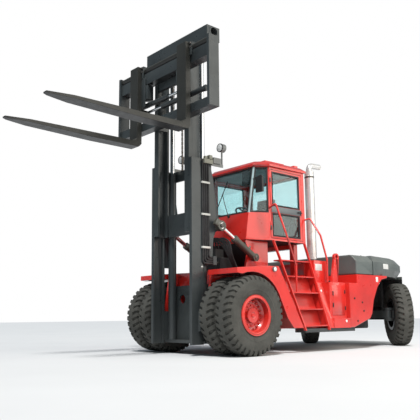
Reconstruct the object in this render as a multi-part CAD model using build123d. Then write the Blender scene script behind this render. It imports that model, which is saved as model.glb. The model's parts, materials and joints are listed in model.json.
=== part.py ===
from build123d import *
import math
import os

# Diesel forklift truck of the 25 tonne class, drawn as it is parked in the picture.
# Lengths in mm. Working frame: X = 0 at the drive axle, +X forward, +Y left, Z = 0 on the ground.

# Tyres and wheels
TYRE_R = 685.0
TYRE_W = 375.0
TYRE_SIDES = 40
SHOULDER_R = 640.0
SIDEWALL_R = 585.0
TREAD_HALF_W = 140.0
SHOULDER_HALF_W = 172.0
BEAD_R = 305.0
FLANGE_R = 348.0
BEAD_HALF_W = 150.0
FLANGE_T = 16.0
RIM_T = 15.0
TYRE_FIT = 0.5
TWIN_GAP = 40.0
HUB_R = 200.0
DISC_R = RIM_T + 275.0
DISC_T = 40.0

# Front axle
OUT_FACE_Y = 1500.0
OUTER_TYRE_Y = OUT_FACE_Y - TYRE_W / 2
INNER_TYRE_Y = OUTER_TYRE_Y - TYRE_W - TWIN_GAP
INNER_FACE_Y = INNER_TYRE_Y - TYRE_W / 2
AXLE_R = 165.0
SPINDLE_R = 90.0
RUN_FIT = 0.08
HUB_IN_Y = INNER_TYRE_Y + 150.0
HUB_OUT_Y = OUTER_TYRE_Y + 30.0

# Steered axle
WHEELBASE = 4700.0
KINGPIN_Y = 1000.0
STEER_OFFSET = 220.0
STEER_REST = 47.0
KINGPIN_R = 45.0
KNUCKLE_ARM_T = 55.0
KNUCKLE_GAP = 6.0
EYE_H = 170.0
EYE_R = 85.0
STUB_R = 80.0

# Mast
PIVOT_X = 330.0
PIVOT_Z = 560.0
PIVOT_R = 50.0
MAST_X0 = 440.0
MAST_X1 = 700.0
MAST_HALF_W = 605.0
FLANGE_IN = MAST_HALF_W - 71.0
WEB_T = 36.0
MAST_FLANGE_T = 42.0
MAST_BOTTOM = 190.0
MAST_TOP = 3535.0
SLIDE_GAP = 6.0
INNER_OUT = FLANGE_IN - SLIDE_GAP
INNER_IN = 400.0
INNER_T = 40.0
INNER_BOTTOM = 2173.0
CROSS_X0 = 292.0
CROSS_X1 = 600.0
CROSS_HALF_W = 950.0
CROSS_LOW = 5720.0
CROSS_H = 280.0
INNER_TOP = CROSS_LOW + 30.0
ROLLER_R = 82.0
LIFT_X = 318.0
LIFT_Y = 450.0
LIFT_R = 80.0
LIFT_ROD_R = 45.0
BARREL_TOP = 3450.0
SHEAVE_X = 390.0
SHEAVE_Z = 5515.0
SHEAVE_R = 120.0
SHEAVE_Y = 190.0
SHEAVE_W = 50.0
CHAIN_W = 36.0
CHAIN_T = 26.0

# Tilt cylinders
TILT_Y = 715.0
TILT_CX = -750.0
TILT_CZ = 1770.0
TILT_MX = 110.0
TILT_MZ = 2300.0
TILT_PIN_R = 40.0
TILT_EYE_R = 75.0
ROD_EYE_R = 92.0
TILT_BACK = 10.0
TILT_BARREL_R = 65.0
TILT_ROD_R = 40.0
TILT_BARREL_END = 620.0
TILT_ROD_IN = 395.0
EYE_SLACK = 11.0

# Carriage and forks
CARR_X0 = 740.0
CARR_X1 = 930.0
CARR_HALF_W = 1420.0
SIDE_T = 60.0
SHAFT_X = 895.0
SHAFT_Z = 5470.0
SHAFT_R = 55.0
MID_BEAM = (5175.0, SHAFT_Z - SHAFT_R - 12.0)
LOW_BEAM = (4240.0, 4410.0)
POST_IN = 335.0
POST_OUT = 385.0
FORK_Y = 750.0
FORK_W = 260.0
FORK_T = 105.0
FORK_BACK = 945.0
FORK_HEEL_Z = 3930.0
FORK_LEN = 2600.0
FORK_TIP_T = 22.0
FORK_TOP = SHAFT_Z + SHAFT_R + 30.0
POS_X = 826.0
POS_R = 50.0
POS_ROD_R = 28.0
POS_UP_Z = 4790.0
POS_LOW_Z = 4640.0

# Frame and body
FRAME_IN = 590.0
FRAME_OUT = 640.0
FRAME_TOP = 1500.0
FRAME_LOW = 430.0
PAD_Z = 870.0
SHELF_Z = 1250.0
ENGINE_Z = 650.0
REAR_IN = 320.0
REAR_OUT = 375.0
NECK_X = 850.0 - WHEELBASE
TAIL_X = -WHEELBASE - 700.0
BODY_Y = 1420.0
FENDER_X1 = 380.0
FENDER_X0 = -660.0
FENDER_BOTTOM = 450.0
FENDER_TOP = 1550.0
ARCH_R = 745.0
LADDER_TOP_X = -1130.0
LADDER_X1 = -1345.0
LADDER_X0 = -2040.0
LADDER_TOP_Z = 2110.0
LADDER_LOW_Z = 400.0
LADDER_TOP_Y = 870.0
TREAD_STEP = 310.0
TREAD_DEPTH = 190.0
ARCH_LOW_X = 1300.0 - WHEELBASE
BOX_X0 = (LADDER_X0 + ARCH_LOW_X) / 2
BOX_TOP = 1320.0
BOX_FOOT = 620.0
BOX_INSET = 90.0
STEP_X = LADDER_X0 - 160.0
LUG_X = BOX_X0 + (LADDER_X0 - BOX_X0) * 21 / 34
HOOD_X1 = BOX_X0 - 280.0
HOOD_X0 = 1110.0 - WHEELBASE
SPLIT_GAP = 10.0
TAIL_END = -WHEELBASE - 950.0
SKIRT_H = 150.0
CW_TOP = 1930.0
CW_LOW = 1500.0

# Cab
CAB_FRONT = -627.0
CAB_FRONT_TOP = -880.0
CAB_FRONT_HALF = 612.0
CAB_SIDE = 820.0
CAB_CORNER_X = -1100.0
CAB_BACK = -2140.0
CAB_FLOOR = 2120.0
CAB_TOP = 3590.0
ROOF_TOP = CAB_TOP + 110.0
WALL_T = 45.0
DOOR_X1 = -1130.0
DOOR_X0 = -2050.0
DOOR_Z0 = CAB_FLOOR + 45.0
DOOR_Z1 = CAB_TOP - 60.0
DOOR_MID = CAB_FLOOR + 0.42 * (CAB_TOP - CAB_FLOOR)
DOOR_GAP = 8.0
HINGE_R = 16.0
HINGE_PIN_R = 8.0
HINGE_H = 70.0
HINGE_Z = (DOOR_Z0 + 255.0, DOOR_Z1 - 250.0)
GLASS_T = 8.0
GLASS_FIT = 0.3
SILL_Z = CAB_FLOOR + 0.375 * (CAB_TOP - CAB_FLOOR)
PILLAR_W = 26.0
EXHAUST_X = CAB_BACK - 335.0
EXHAUST_R = 97.0

FORK_TIP_X = FORK_BACK + FORK_T + FORK_LEN
X_SHIFT = -(FORK_TIP_X + TAIL_END) / 2


def block(x0, x1, y0, y1, z0, z1):
    """Box between two limits on each axis."""
    solid = Box(x1 - x0, y1 - y0, z1 - z0, align=(Align.MIN, Align.MIN, Align.MIN))
    return Pos(x0, y0, z0) * solid


def bar_y(x, z, y0, y1, r):
    """Round bar along Y."""
    return Pos(x, (y0 + y1) / 2, z) * Rot(90, 0, 0) * Cylinder(r, abs(y1 - y0))


def bar_x(y, z, x0, x1, r):
    """Round bar along X."""
    return Pos((x0 + x1) / 2, y, z) * Rot(0, 90, 0) * Cylinder(r, abs(x1 - x0))


def bar_z(x, y, z0, z1, r):
    """Round bar along Z."""
    return Pos(x, y, (z0 + z1) / 2) * Cylinder(r, abs(z1 - z0))


def plate_xz(points, y0, y1):
    """Flat plate with a side-view outline, from y0 to y1."""
    wire = Polyline(*[(x, y0, z) for x, z in points], close=True)
    return extrude(make_face(wire), amount=y1 - y0, dir=(0, 1, 0))


def plate_xy(points, z0, z1):
    """Flat plate with a plan outline, from z0 to z1."""
    wire = Polyline(*[(x, y, z0) for x, y in points], close=True)
    return extrude(make_face(wire), amount=z1 - z0, dir=(0, 0, 1))


def outline_at(points, z):
    """Flat face with a plan outline at a height."""
    return make_face(Polyline(*[(x, y, z) for x, y in points], close=True))


def plate_yz(points, x0, x1):
    """Flat plate with a front-view outline, from x0 to x1."""
    wire = Polyline(*[(x0, y, z) for y, z in points], close=True)
    return extrude(make_face(wire), amount=x1 - x0, dir=(1, 0, 0))


def pipe(points, r, bend):
    """Round pipe along a path of straight runs with rounded corners."""
    path = FilletPolyline(*points, radius=bend)
    start = path @ 0
    aim = path % 0
    ring = Plane(origin=start, z_dir=aim) * Circle(r)
    return sweep(ring, path=path)


def other(solid):
    """The same piece on the other side of the truck."""
    return mirror(solid, about=Plane.XZ)


def both(solid):
    """A piece and its twin on the other side."""
    return [solid, other(solid)]


def ngon(y, r):
    """Regular polygon across the wheel axis with its flats at radius r."""
    plane = Plane(origin=(0, y, 0), x_dir=(1, 0, 0), z_dir=(0, 1, 0))
    return plane * Rot(0, 0, 180.0 / TYRE_SIDES) * RegularPolygon(r / math.cos(math.pi / TYRE_SIDES), TYRE_SIDES)


def tyre():
    """One tyre about the Y axis, its middle at the origin."""
    rows = [
        (-TYRE_W / 2, SIDEWALL_R),
        (-SHOULDER_HALF_W, SHOULDER_R),
        (-TREAD_HALF_W, TYRE_R),
        (TREAD_HALF_W, TYRE_R),
        (SHOULDER_HALF_W, SHOULDER_R),
        (TYRE_W / 2, SIDEWALL_R),
    ]
    body = loft([ngon(y, r) for y, r in rows], ruled=True)
    body -= bar_y(0, 0, -TYRE_W, TYRE_W, BEAD_R + TYRE_FIT)
    for side in (-1, 1):
        y0 = side * (BEAD_HALF_W - TYRE_FIT)
        body -= bar_y(0, 0, y0, side * TYRE_W, FLANGE_R + TYRE_FIT)
    return body


def rim():
    """One rim with its two flanges about the Y axis."""
    width = BEAD_HALF_W + FLANGE_T
    ring = bar_y(0, 0, -width, width, BEAD_R)
    for side in (-1, 1):
        ring += bar_y(0, 0, side * BEAD_HALF_W, side * width, FLANGE_R)
    return ring - bar_y(0, 0, -width - 1, width + 1, BEAD_R - RIM_T)


def front_tyres():
    """The twin tyres of the left front wheel."""
    return [Pos(0, y, TYRE_R) * tyre() for y in (INNER_TYRE_Y, OUTER_TYRE_Y)]


def front_wheel():
    """The two rims, disc and planetary hub of the left front wheel."""
    wheel = Pos(0, INNER_TYRE_Y, TYRE_R) * rim()
    wheel += Pos(0, OUTER_TYRE_Y, TYRE_R) * rim()
    middle = (INNER_TYRE_Y + OUTER_TYRE_Y) / 2
    half = (OUTER_TYRE_Y - INNER_TYRE_Y) / 2 - BEAD_HALF_W - FLANGE_T + 8
    wheel += bar_y(0, TYRE_R, middle - half, middle + half, BEAD_R)
    wheel += bar_y(0, TYRE_R, HUB_IN_Y, HUB_OUT_Y, HUB_R)
    wheel += bar_y(0, TYRE_R, HUB_OUT_Y - 40, HUB_OUT_Y + 45, HUB_R - 70)
    return wheel - bar_y(0, TYRE_R, HUB_IN_Y - 1, HUB_OUT_Y - 60, SPINDLE_R + RUN_FIT)


def steered(side, solid):
    """Place a wheel-axis piece at the steered angle of the rest pose on one side."""
    return Pos(-WHEELBASE, side * KINGPIN_Y, 0) * Rot(0, 0, STEER_REST) * solid


def rear_tyre(side):
    """One steered tyre."""
    return steered(side, Pos(0, side * STEER_OFFSET, TYRE_R) * tyre())


def rear_wheel(side):
    """One steered rim with its disc and hub."""
    s = side
    o = STEER_OFFSET
    wheel = Pos(0, s * o, TYRE_R) * rim()
    wheel += bar_y(0, TYRE_R, s * (o + 20), s * (o + 20 + DISC_T), BEAD_R)
    wheel += bar_y(0, TYRE_R, s * (o - 55), s * (o + 110), HUB_R - 40)
    wheel += bar_y(0, TYRE_R, s * (o + 110), s * (o + 150), HUB_R - 90)
    wheel -= bar_y(0, TYRE_R, s * (o - 60), s * (o + 90), STUB_R + RUN_FIT)
    return steered(side, wheel)


def knuckle(side):
    """Steering knuckle: kingpin, two arms, flange and wheel spindle."""
    s = side
    half = EYE_H / 2 + KNUCKLE_GAP
    reach = 150.0
    body = bar_z(0, 0, TYRE_R - half - KNUCKLE_ARM_T, TYRE_R + half + KNUCKLE_ARM_T, KINGPIN_R)
    for up in (-1, 1):
        z = sorted((TYRE_R + up * half, TYRE_R + up * (half + KNUCKLE_ARM_T)))
        body += bar_z(0, 0, z[0], z[1], EYE_R)
        y = sorted((0, s * reach))
        body += block(-EYE_R, EYE_R, y[0], y[1], z[0], z[1])
    y = sorted((s * (reach - 38), s * reach))
    top = TYRE_R + half + KNUCKLE_ARM_T
    low = TYRE_R - half - KNUCKLE_ARM_T
    body += block(-105, 105, y[0], y[1], low, top)
    body += bar_y(0, TYRE_R, s * reach, s * (STEER_OFFSET + 80), STUB_R)
    return steered(side, body)


def steer_axle():
    """Steered axle beam with its eyes, trunnions and steering cylinder."""
    beam = plate_xy(
        [(-WHEELBASE - 120, -560), (-WHEELBASE - 120, 560), (-WHEELBASE - 80, 700),
         (-WHEELBASE - 80, KINGPIN_Y), (-WHEELBASE + 80, KINGPIN_Y), (-WHEELBASE + 80, 700),
         (-WHEELBASE + 120, 560), (-WHEELBASE + 120, -560), (-WHEELBASE + 80, -700),
         (-WHEELBASE + 80, -KINGPIN_Y), (-WHEELBASE - 80, -KINGPIN_Y), (-WHEELBASE - 80, -700)],
        TYRE_R - EYE_H / 2, TYRE_R + EYE_H / 2)
    for side in (-1, 1):
        z0 = TYRE_R - EYE_H / 2
        z1 = TYRE_R + EYE_H / 2
        beam += bar_z(-WHEELBASE, side * KINGPIN_Y, z0, z1, EYE_R)
    for side in (-1, 1):
        beam -= bar_z(-WHEELBASE, side * KINGPIN_Y, 0, 2 * TYRE_R, KINGPIN_R + RUN_FIT)
    beam += bar_x(0, TYRE_R, -WHEELBASE - 230, -WHEELBASE + 230, 60)
    beam += bar_y(-WHEELBASE + 310, TYRE_R, -270, 270, 55)
    beam += bar_y(-WHEELBASE + 310, TYRE_R, -370, 370, 28)
    for y in (-245, 215):
        beam += block(-WHEELBASE + 100, -WHEELBASE + 310, y, y + 30, TYRE_R - 45, TYRE_R + 45)
    return beam


def drive_axle():
    """Drive axle: beam, pads, differential and the two spindles."""
    beam = bar_y(0, TYRE_R, -INNER_FACE_Y, INNER_FACE_Y, AXLE_R)
    beam += Pos(-110, 0, TYRE_R) * Sphere(225)
    beam += bar_x(0, TYRE_R + 20, -520, -110, 110)
    for side in (-1, 1):
        y = sorted((side * (FRAME_IN - 40), side * FRAME_OUT))
        beam += block(-150, 150, y[0], y[1], TYRE_R, PAD_Z)
        beam += bar_y(0, TYRE_R, side * INNER_FACE_Y, side * (HUB_IN_Y - 12), AXLE_R - 20)
        beam += bar_y(0, TYRE_R, side * INNER_FACE_Y, side * (HUB_OUT_Y - 70), SPINDLE_R)
    return beam


def chassis_frame():
    """Welded frame: side plates, rear beams and cross plates."""
    lean = math.radians(TILT_BACK)
    front = PIVOT_X + (MAST_X0 - PIVOT_X) / math.cos(lean) - (FRAME_TOP - PIVOT_Z) * math.tan(lean) - 20
    side = plate_xz(
        [(200, PAD_Z), (225, 840), (225, 600), (255, 470), (380, 470), (420, 520), (420, 600), (395, 660),
         (front, FRAME_TOP), (TILT_CX + 190, FRAME_TOP), (TILT_CX + 90, TILT_CZ + 70),
         (TILT_CX - 90, TILT_CZ + 70), (TILT_CX - 190, FRAME_TOP), (-1400, FRAME_TOP - 120),
         (STEP_X, BOX_TOP - 20), (NECK_X, BOX_TOP - 20), (NECK_X, 700), (NECK_X + 350, FRAME_LOW),
         (-900, FRAME_LOW), (-420, 560), (-230, PAD_Z)], FRAME_IN, FRAME_OUT)
    side -= bar_y(PIVOT_X, PIVOT_Z, 0, 2 * FRAME_OUT, PIVOT_R + RUN_FIT)
    side += bar_y(TILT_CX, TILT_CZ, FRAME_IN, TILT_Y + 62, TILT_PIN_R)
    frame = side + other(side)
    tail = plate_xz(
        [(NECK_X + 40, 860), (TAIL_X, 860), (TAIL_X, 1400), (NECK_X + 40, 1400)], REAR_IN, REAR_OUT)
    frame += tail + other(tail)
    frame += block(NECK_X, NECK_X + 45, -FRAME_OUT, FRAME_OUT, 700, 1400)
    frame += block(TAIL_X, TAIL_X + 45, -REAR_OUT, REAR_OUT, 860, 1400)
    frame += block(-60, 60, -FRAME_OUT, FRAME_OUT, 1230, FRAME_TOP)
    frame += block(-900, 60, -FRAME_IN, FRAME_IN, SHELF_Z - 40, SHELF_Z)
    for x in (NECK_X + 550, BOX_X0 + 240):
        frame += block(x, x + 80, -FRAME_IN, FRAME_IN, FRAME_LOW, ENGINE_Z)
    frame += block(-1000, -960, -FRAME_OUT, FRAME_OUT, FRAME_LOW, 1100)
    frame += block(NECK_X + 350, -960, -FRAME_IN, FRAME_IN, FRAME_LOW, FRAME_LOW + 20)
    for x in (-WHEELBASE - 215, -WHEELBASE + 145):
        hanger = block(x, x + 70, -190, 190, 560, 905)
        frame += hanger - bar_x(0, TYRE_R, x - 10, x + 80, 60.0 + RUN_FIT)
    frame += block(-WHEELBASE - 260, -WHEELBASE + 260, -REAR_OUT, REAR_OUT, 900, 940)
    return frame


def front_fender():
    """Left front fender: arched sheet over the twin tyres with a closed outer side."""
    arch = [(FENDER_X1, 1400.0)]
    for deg in (70, 80, 90, 100, 110, 120, 130, 140, 150, 160):
        a = math.radians(deg)
        arch.append((ARCH_R * math.cos(a), TYRE_R + ARCH_R * math.sin(a)))
    arch += [(-860, FENDER_BOTTOM + 180), (-1020, FENDER_BOTTOM)]
    top = [(FENDER_X0, FENDER_TOP), (-400, FENDER_TOP), (FENDER_X1, FENDER_TOP - 60)]
    skin = plate_xz(arch + [(-1290, FENDER_BOTTOM)] + top, BODY_Y - 25, BODY_Y)
    back = [(-1060, FENDER_BOTTOM), (-900, 640), (-790, 900), (-740, 1200)]
    fender = skin + plate_xz(arch + back + top, FRAME_OUT + 25, BODY_Y - 5)
    return fender + block(FENDER_X0 + 20, -100, FRAME_OUT, FRAME_OUT + 30, FENDER_TOP - 110, FENDER_TOP - 30)


def side_box():
    """Left tank between ladder and rear body, with the low tank behind the ladder and the upper locker."""
    box = block(BOX_X0, STEP_X, FRAME_OUT, BODY_Y, FRAME_LOW, BOX_FOOT)
    box += block(BOX_X0, STEP_X, FRAME_OUT, BODY_Y - BOX_INSET, FRAME_LOW, BOX_TOP)
    lean = [(FRAME_OUT, FRAME_LOW), (ladder_y(FRAME_LOW), FRAME_LOW), (ladder_y(BOX_TOP), BOX_TOP),
            (FRAME_OUT, BOX_TOP)]
    box += plate_yz(lean, STEP_X - 5, LADDER_X0 - 4)
    box += block(LADDER_X0 - 20, LADDER_X1 + 5, FRAME_OUT, 820, FRAME_LOW, 1180)
    box += block(LUG_X - 150, LADDER_X0 - 4, 850, 1090, BOX_TOP - 5, BOX_TOP + 440)
    return box


def rear_body():
    """Left rear body side with the front half of the open arch over the steered wheel."""
    arch = [(1300, 600), (1220, 700), (1140, 980), (980, 1250), (820, 1410), (600, 1450), (600, CW_LOW)]
    outline = [(BOX_X0 - 5, BOX_TOP), (BOX_X0 - 5, FRAME_LOW), (BOX_X0 - 130, FRAME_LOW)]
    outline += [(x - WHEELBASE, z) for x, z in arch]
    outline += [(HOOD_X1, CW_LOW), (HOOD_X1, BOX_TOP)]
    return plate_xz(outline, FRAME_OUT, BODY_Y)


def ladder_y(z):
    """Distance from the middle to the outer edge of the left ladder at a height."""
    return BODY_Y - (z - LADDER_LOW_Z) * (BODY_Y - LADDER_TOP_Y) / (LADDER_TOP_Z - LADDER_LOW_Z) + 5


def ladder_front(z):
    """Place of the leaning front stringer at a height."""
    return LADDER_X1 + (LADDER_TOP_X - LADDER_X1) * (z - LADDER_LOW_Z) / (LADDER_TOP_Z - LADDER_LOW_Z)


def ladder():
    """Left ladder leaning outward: two stringers and the treads."""
    ends = []
    for z in (LADDER_LOW_Z, LADDER_TOP_Z):
        x = ladder_front(z)
        y = ladder_y(z)
        ends.append(make_face(Polyline((x, y - 30, z), (x + 26, y - 30, z), (x + 26, y + 25, z), (x, y + 25, z),
                                       close=True)))
    steps = loft(ends, ruled=True)
    lean = [(ladder_y(z) + off, z) for z, off in ((LADDER_TOP_Z, -30), (LADDER_TOP_Z, 25), (LADDER_LOW_Z, 25),
                                                  (LADDER_LOW_Z, -30))]
    steps += plate_yz(lean, LADDER_X0 - 4, LADDER_X0 + 22)
    for i in range(5):
        z = 470 + TREAD_STEP * i
        y = ladder_y(z)
        steps += block(LADDER_X0, ladder_front(z) + 10, y - TREAD_DEPTH, y, z, z + 26)
    return steps


def handrails():
    """Two bent rails on the left side."""
    tread = 470 + 2 * TREAD_STEP + 26
    foot_y = ladder_y(tread) - 15
    front = pipe([(-1090, 770, 2740), (-1090, 985, 2815), (-1105, 1250, 2120), (-1400, foot_y, tread + 500),
                  (-1400, foot_y, tread)], 19, 40)
    back_x = CAB_BACK - 60
    back = pipe([(CAB_BACK + 30, 780, 2600), (back_x, 905, 2636), (back_x, 1160, 2262), (back_x, 1300, BOX_TOP + 440),
                 (back_x, BODY_Y - 130, BOX_TOP + 200), (back_x, BODY_Y - 130, BOX_TOP)], 19, 40)
    wall = cab_body(0, CAB_FLOOR, CAB_TOP)
    return [front - wall, back - wall]


def engine_hood():
    """Grey hood over the engine, ahead of the counterweight."""
    outline = [(-BODY_Y, CW_LOW), (BODY_Y, CW_LOW), (BODY_Y, 1780), (1290, CW_TOP - 20),
               (-1290, CW_TOP - 20), (-BODY_Y, 1780)]
    return plate_yz(outline, HOOD_X0, HOOD_X1)


def counterweight():
    """Cast counterweight: bevelled slab over the steered wheels and a tail block behind them."""
    front = HOOD_X0 - SPLIT_GAP
    side = [(front, BODY_Y), (-WHEELBASE, 1250), (-WHEELBASE - 600, 1000), (TAIL_END, 700)]
    tuck = [(front, BODY_Y), (-WHEELBASE, 1180), (-WHEELBASE - 560, 905), (TAIL_END + 90, 640)]
    full = side + [(x, -y) for x, y in reversed(side)]
    low = tuck + [(x, -y) for x, y in reversed(tuck)]
    z1 = CW_LOW + SKIRT_H
    weight = loft([outline_at(low, CW_LOW), outline_at(full, z1)], ruled=True)
    weight += plate_xy(full, z1, CW_TOP - 140)
    weight += extrude(outline_at(full, CW_TOP - 140), amount=140, taper=42)
    tail = plate_xy([(TAIL_END + 140, -905), (TAIL_END + 140, 905), (TAIL_END + 90, 880), (TAIL_END + 25, 640),
                     (TAIL_END + 25, -640), (TAIL_END + 90, -880)], 560, CW_LOW + 60)
    weight += tail
    weight += block(TAIL_END + 130, TAIL_X - 5, -REAR_OUT, REAR_OUT, 700, CW_LOW)
    return weight - block(TAIL_END - 5, TAIL_END + 90, -150, 150, 690, 1300)


def tow_hitch():
    """Tow bracket in the recess of the tail: two lugs with a hole for the drawbar pin."""
    back = TAIL_END + 90
    lug = block(back - 110, back, -90, 90, 770, 810) + block(back - 110, back, -90, 90, 890, 930)
    lug += block(back - 30, back, -120, 120, 720, 980)
    return lug - bar_z(back - 65, 0, 700, 1000, 22)


def lifting_lug():
    """Left lifting lug: a rounded plate with a hole."""
    top = BOX_TOP + 515
    plate = plate_xz([(LUG_X - 60, BOX_TOP), (LUG_X - 240, BOX_TOP), (LUG_X - 300, top - 35),
                      (LUG_X - 170, top - 35)], 1225, 1285)
    plate += bar_y(LUG_X - 235, top, 1225, 1285, 75)
    return plate - bar_y(LUG_X - 235, top, 1200, 1300, 38)


def cab_front(z):
    """Place of the leaning cab front at a height."""
    return CAB_FRONT + (CAB_FRONT_TOP - CAB_FRONT) * (z - CAB_FLOOR) / (CAB_TOP - CAB_FLOOR)


def cab_outline(grow, z):
    """Plan outline of the cab at a height, grown outward by a distance."""
    g = grow
    front = cab_front(z)
    slope = math.hypot(CAB_CORNER_X - front, CAB_SIDE - CAB_FRONT_HALF)
    tip = g * (slope - (CAB_SIDE - CAB_FRONT_HALF)) / abs(CAB_CORNER_X - front)
    near = g * (slope - abs(CAB_CORNER_X - front)) / (CAB_SIDE - CAB_FRONT_HALF)
    half = [(front + g, CAB_FRONT_HALF + tip), (CAB_CORNER_X + near, CAB_SIDE + g), (CAB_BACK - g, CAB_SIDE + g)]
    return half + [(x, -y) for x, y in reversed(half)]


def cab_body(grow, z0, z1):
    """Solid cab between two heights, with its leaning front."""
    return loft([outline_at(cab_outline(grow, z), z) for z in (z0, z1)], ruled=True)


def corner_pane(side, inset, z0, z1, depth):
    """Block through one slanting front corner of the cab, inset at both ends."""
    ends = []
    for z in (z0, z1):
        dx = CAB_CORNER_X - cab_front(z)
        dy = CAB_SIDE - CAB_FRONT_HALF
        length = math.hypot(dx, dy)
        ux = dx / length
        uy = dy / length
        points = []
        for along, out in ((inset, -1), (length - inset, -1), (length - inset, 1), (inset, 1)):
            off = out * depth / 2 - WALL_T / 2
            x = cab_front(z) + ux * along + uy * off
            y = CAB_FRONT_HALF + uy * along - ux * off
            points.append((x, side * y))
        ends.append(outline_at(points, z))
    return loft(ends, ruled=True)


def cab_windows(depth, fit):
    """Blocks through the fixed windows of the cab, as deep as asked and smaller by a fit all round."""
    f = fit
    d = depth / 2
    low = SILL_Z + f
    top = CAB_TOP - PILLAR_W - f
    wide = CAB_FRONT_HALF - PILLAR_W - f
    ends = []
    for z in (low, top):
        x = cab_front(z) - WALL_T / 2
        ends.append(outline_at([(x - d, -wide), (x + d, -wide), (x + d, wide), (x - d, wide)], z))
    panes = [loft(ends, ruled=True)]
    mid_b = CAB_BACK + WALL_T / 2
    panes.append(block(mid_b - d, mid_b + d, -CAB_SIDE + 130 + f, CAB_SIDE - 130 - f, low, top - 45))
    for side in (-1, 1):
        panes.append(corner_pane(side, PILLAR_W + 8 + f, low, top, depth))
    return panes


def cab_shell():
    """Hollow cab wall with its windows and door openings cut."""
    shell = cab_body(0, CAB_FLOOR, CAB_TOP) - cab_body(-WALL_T, CAB_FLOOR - 100, CAB_TOP + 100)
    for pane in cab_windows(3 * WALL_T, 0):
        shell -= pane
    g = DOOR_GAP
    for side in (-1, 1):
        y = sorted((side * (CAB_SIDE - 2 * WALL_T), side * (CAB_SIDE + WALL_T)))
        shell -= block(DOOR_X0 - g, DOOR_X1 + g, y[0], y[1], DOOR_Z0 - g, DOOR_Z1 + g)
    for z in HINGE_Z:
        notch = bar_z(DOOR_X1, CAB_SIDE, z - HINGE_H / 2 - 1, z + HINGE_H / 2 + 1, HINGE_R + 4)
        shell = shell - notch - other(notch) + hinge_ears(z) + other(hinge_ears(z))
    return shell


def hinge_ears(z):
    """Pin and two ears of one left door hinge, on the pillar."""
    far = HINGE_H / 2 + 31
    near = HINGE_H / 2 + 1
    ears = bar_z(DOOR_X1, CAB_SIDE, z - far, z + far, HINGE_PIN_R)
    for z0, z1 in ((z - far, z - near), (z + near, z + far)):
        ears += bar_z(DOOR_X1, CAB_SIDE, z0, z1, HINGE_R)
        ears += block(DOOR_X1 + 4, CAB_CORNER_X + 2, CAB_SIDE - 20, CAB_SIDE + 12, z0, z1)
    return ears


def cab_floor():
    """Floor inside the cab walls."""
    return cab_body(-WALL_T - GLASS_FIT, CAB_FLOOR, CAB_FLOOR + 30)


def cab_roof():
    """Roof with a sloped rim, overhanging the walls, with the flat box and the small rear housing on it."""
    edge = 45.0
    outline = cab_outline(35, CAB_TOP)
    roof = extrude(outline_at(outline, CAB_TOP), amount=edge, dir=(0, 0, 1))
    roof += extrude(outline_at(outline, CAB_TOP + edge), amount=ROOF_TOP - CAB_TOP - edge, taper=50)
    roof += block(CAB_CORNER_X - 650, CAB_CORNER_X - 90, 180, 640, ROOF_TOP - 10, ROOF_TOP + 62)
    return roof + block(CAB_BACK + 20, CAB_BACK + 130, 560, 690, ROOF_TOP - 10, ROOF_TOP + 70)


def cab_base():
    """Front pedestal with its leaning face and rear posts that carry the cab."""
    low = FRAME_TOP - 110
    side = [(CAB_FRONT - 15, CAB_FLOOR), (CAB_FRONT - 15, CAB_FLOOR - 45), (-880, FRAME_TOP + 140), (-880, low),
            (-1260, low), (-1260, CAB_FLOOR)]
    base = plate_xz(side, -FRAME_IN, FRAME_IN)
    for side in (-1, 1):
        y = sorted((side * 470, side * FRAME_IN))
        base += block(CAB_BACK, CAB_BACK + 110, y[0], y[1], BOX_TOP - 20, CAB_FLOOR)
    base += block(CAB_BACK, CAB_BACK + 110, -500, 500, CAB_FLOOR - 90, CAB_FLOOR)
    return base


def door():
    """Left door with an upper and a lower window."""
    leaf = block(DOOR_X0, DOOR_X1, CAB_SIDE - WALL_T, CAB_SIDE, DOOR_Z0, DOOR_Z1)
    for z0, z1 in door_panes(0):
        leaf -= block(DOOR_X0 + 75, DOOR_X1 - 48, 0, 2 * CAB_SIDE, z0, z1)
    for z in HINGE_Z:
        leaf -= bar_z(DOOR_X1, CAB_SIDE, z - HINGE_H, z + HINGE_H, HINGE_R + 4)
        leaf += bar_z(DOOR_X1, CAB_SIDE, z - HINGE_H / 2, z + HINGE_H / 2, HINGE_R)
        leaf += block(DOOR_X1 - 30, DOOR_X1 - 2, CAB_SIDE - 30, CAB_SIDE + 8, z - HINGE_H / 2, z + HINGE_H / 2)
        leaf -= bar_z(DOOR_X1, CAB_SIDE, z - HINGE_H, z + HINGE_H, HINGE_PIN_R + RUN_FIT)
    return leaf


def door_panes(fit):
    """Heights of the two door panes."""
    return [(DOOR_Z0 + 45 + fit, DOOR_MID - 75 - fit), (DOOR_MID + 75 + fit, DOOR_Z1 - 45 - fit)]


def door_glass():
    """Panes of the left door."""
    f = GLASS_FIT
    mid = CAB_SIDE - WALL_T / 2
    panes = []
    for z0, z1 in door_panes(f):
        panes.append(block(DOOR_X0 + 75 + f, DOOR_X1 - 48 - f, mid - GLASS_T / 2, mid + GLASS_T / 2, z0, z1))
    return panes


def seat():
    """Operator's seat: box, cushion and back."""
    floor = CAB_FLOOR + 30
    body = block(-1780, -1360, -210, 210, floor, floor + 300)
    cushion = block(-1820, -1310, -265, 265, floor + 300, floor + 430)
    back = plate_xz([(-1820, floor + 430), (-1690, floor + 430), (-1800, floor + 1010),
                     (-1920, floor + 1010)], -255, 255)
    return body + cushion + back


def steering_wheel():
    """Column and wheel in front of the seat."""
    floor = CAB_FLOOR + 30
    column = Pos(-1070, 0, floor + 290) * Rot(0, -25, 0) * Cylinder(50, 740)
    column = column - block(-2000, 0, -200, 200, 0, floor)
    place = Pos(-1226, 0, floor + 625) * Rot(0, -25, 0)
    ring = place * Torus(195, 17)
    spoke = place * Box(390, 34, 16) + place * Box(34, 390, 16)
    return column + ring + spoke + place * Cylinder(55, 40)


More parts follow.
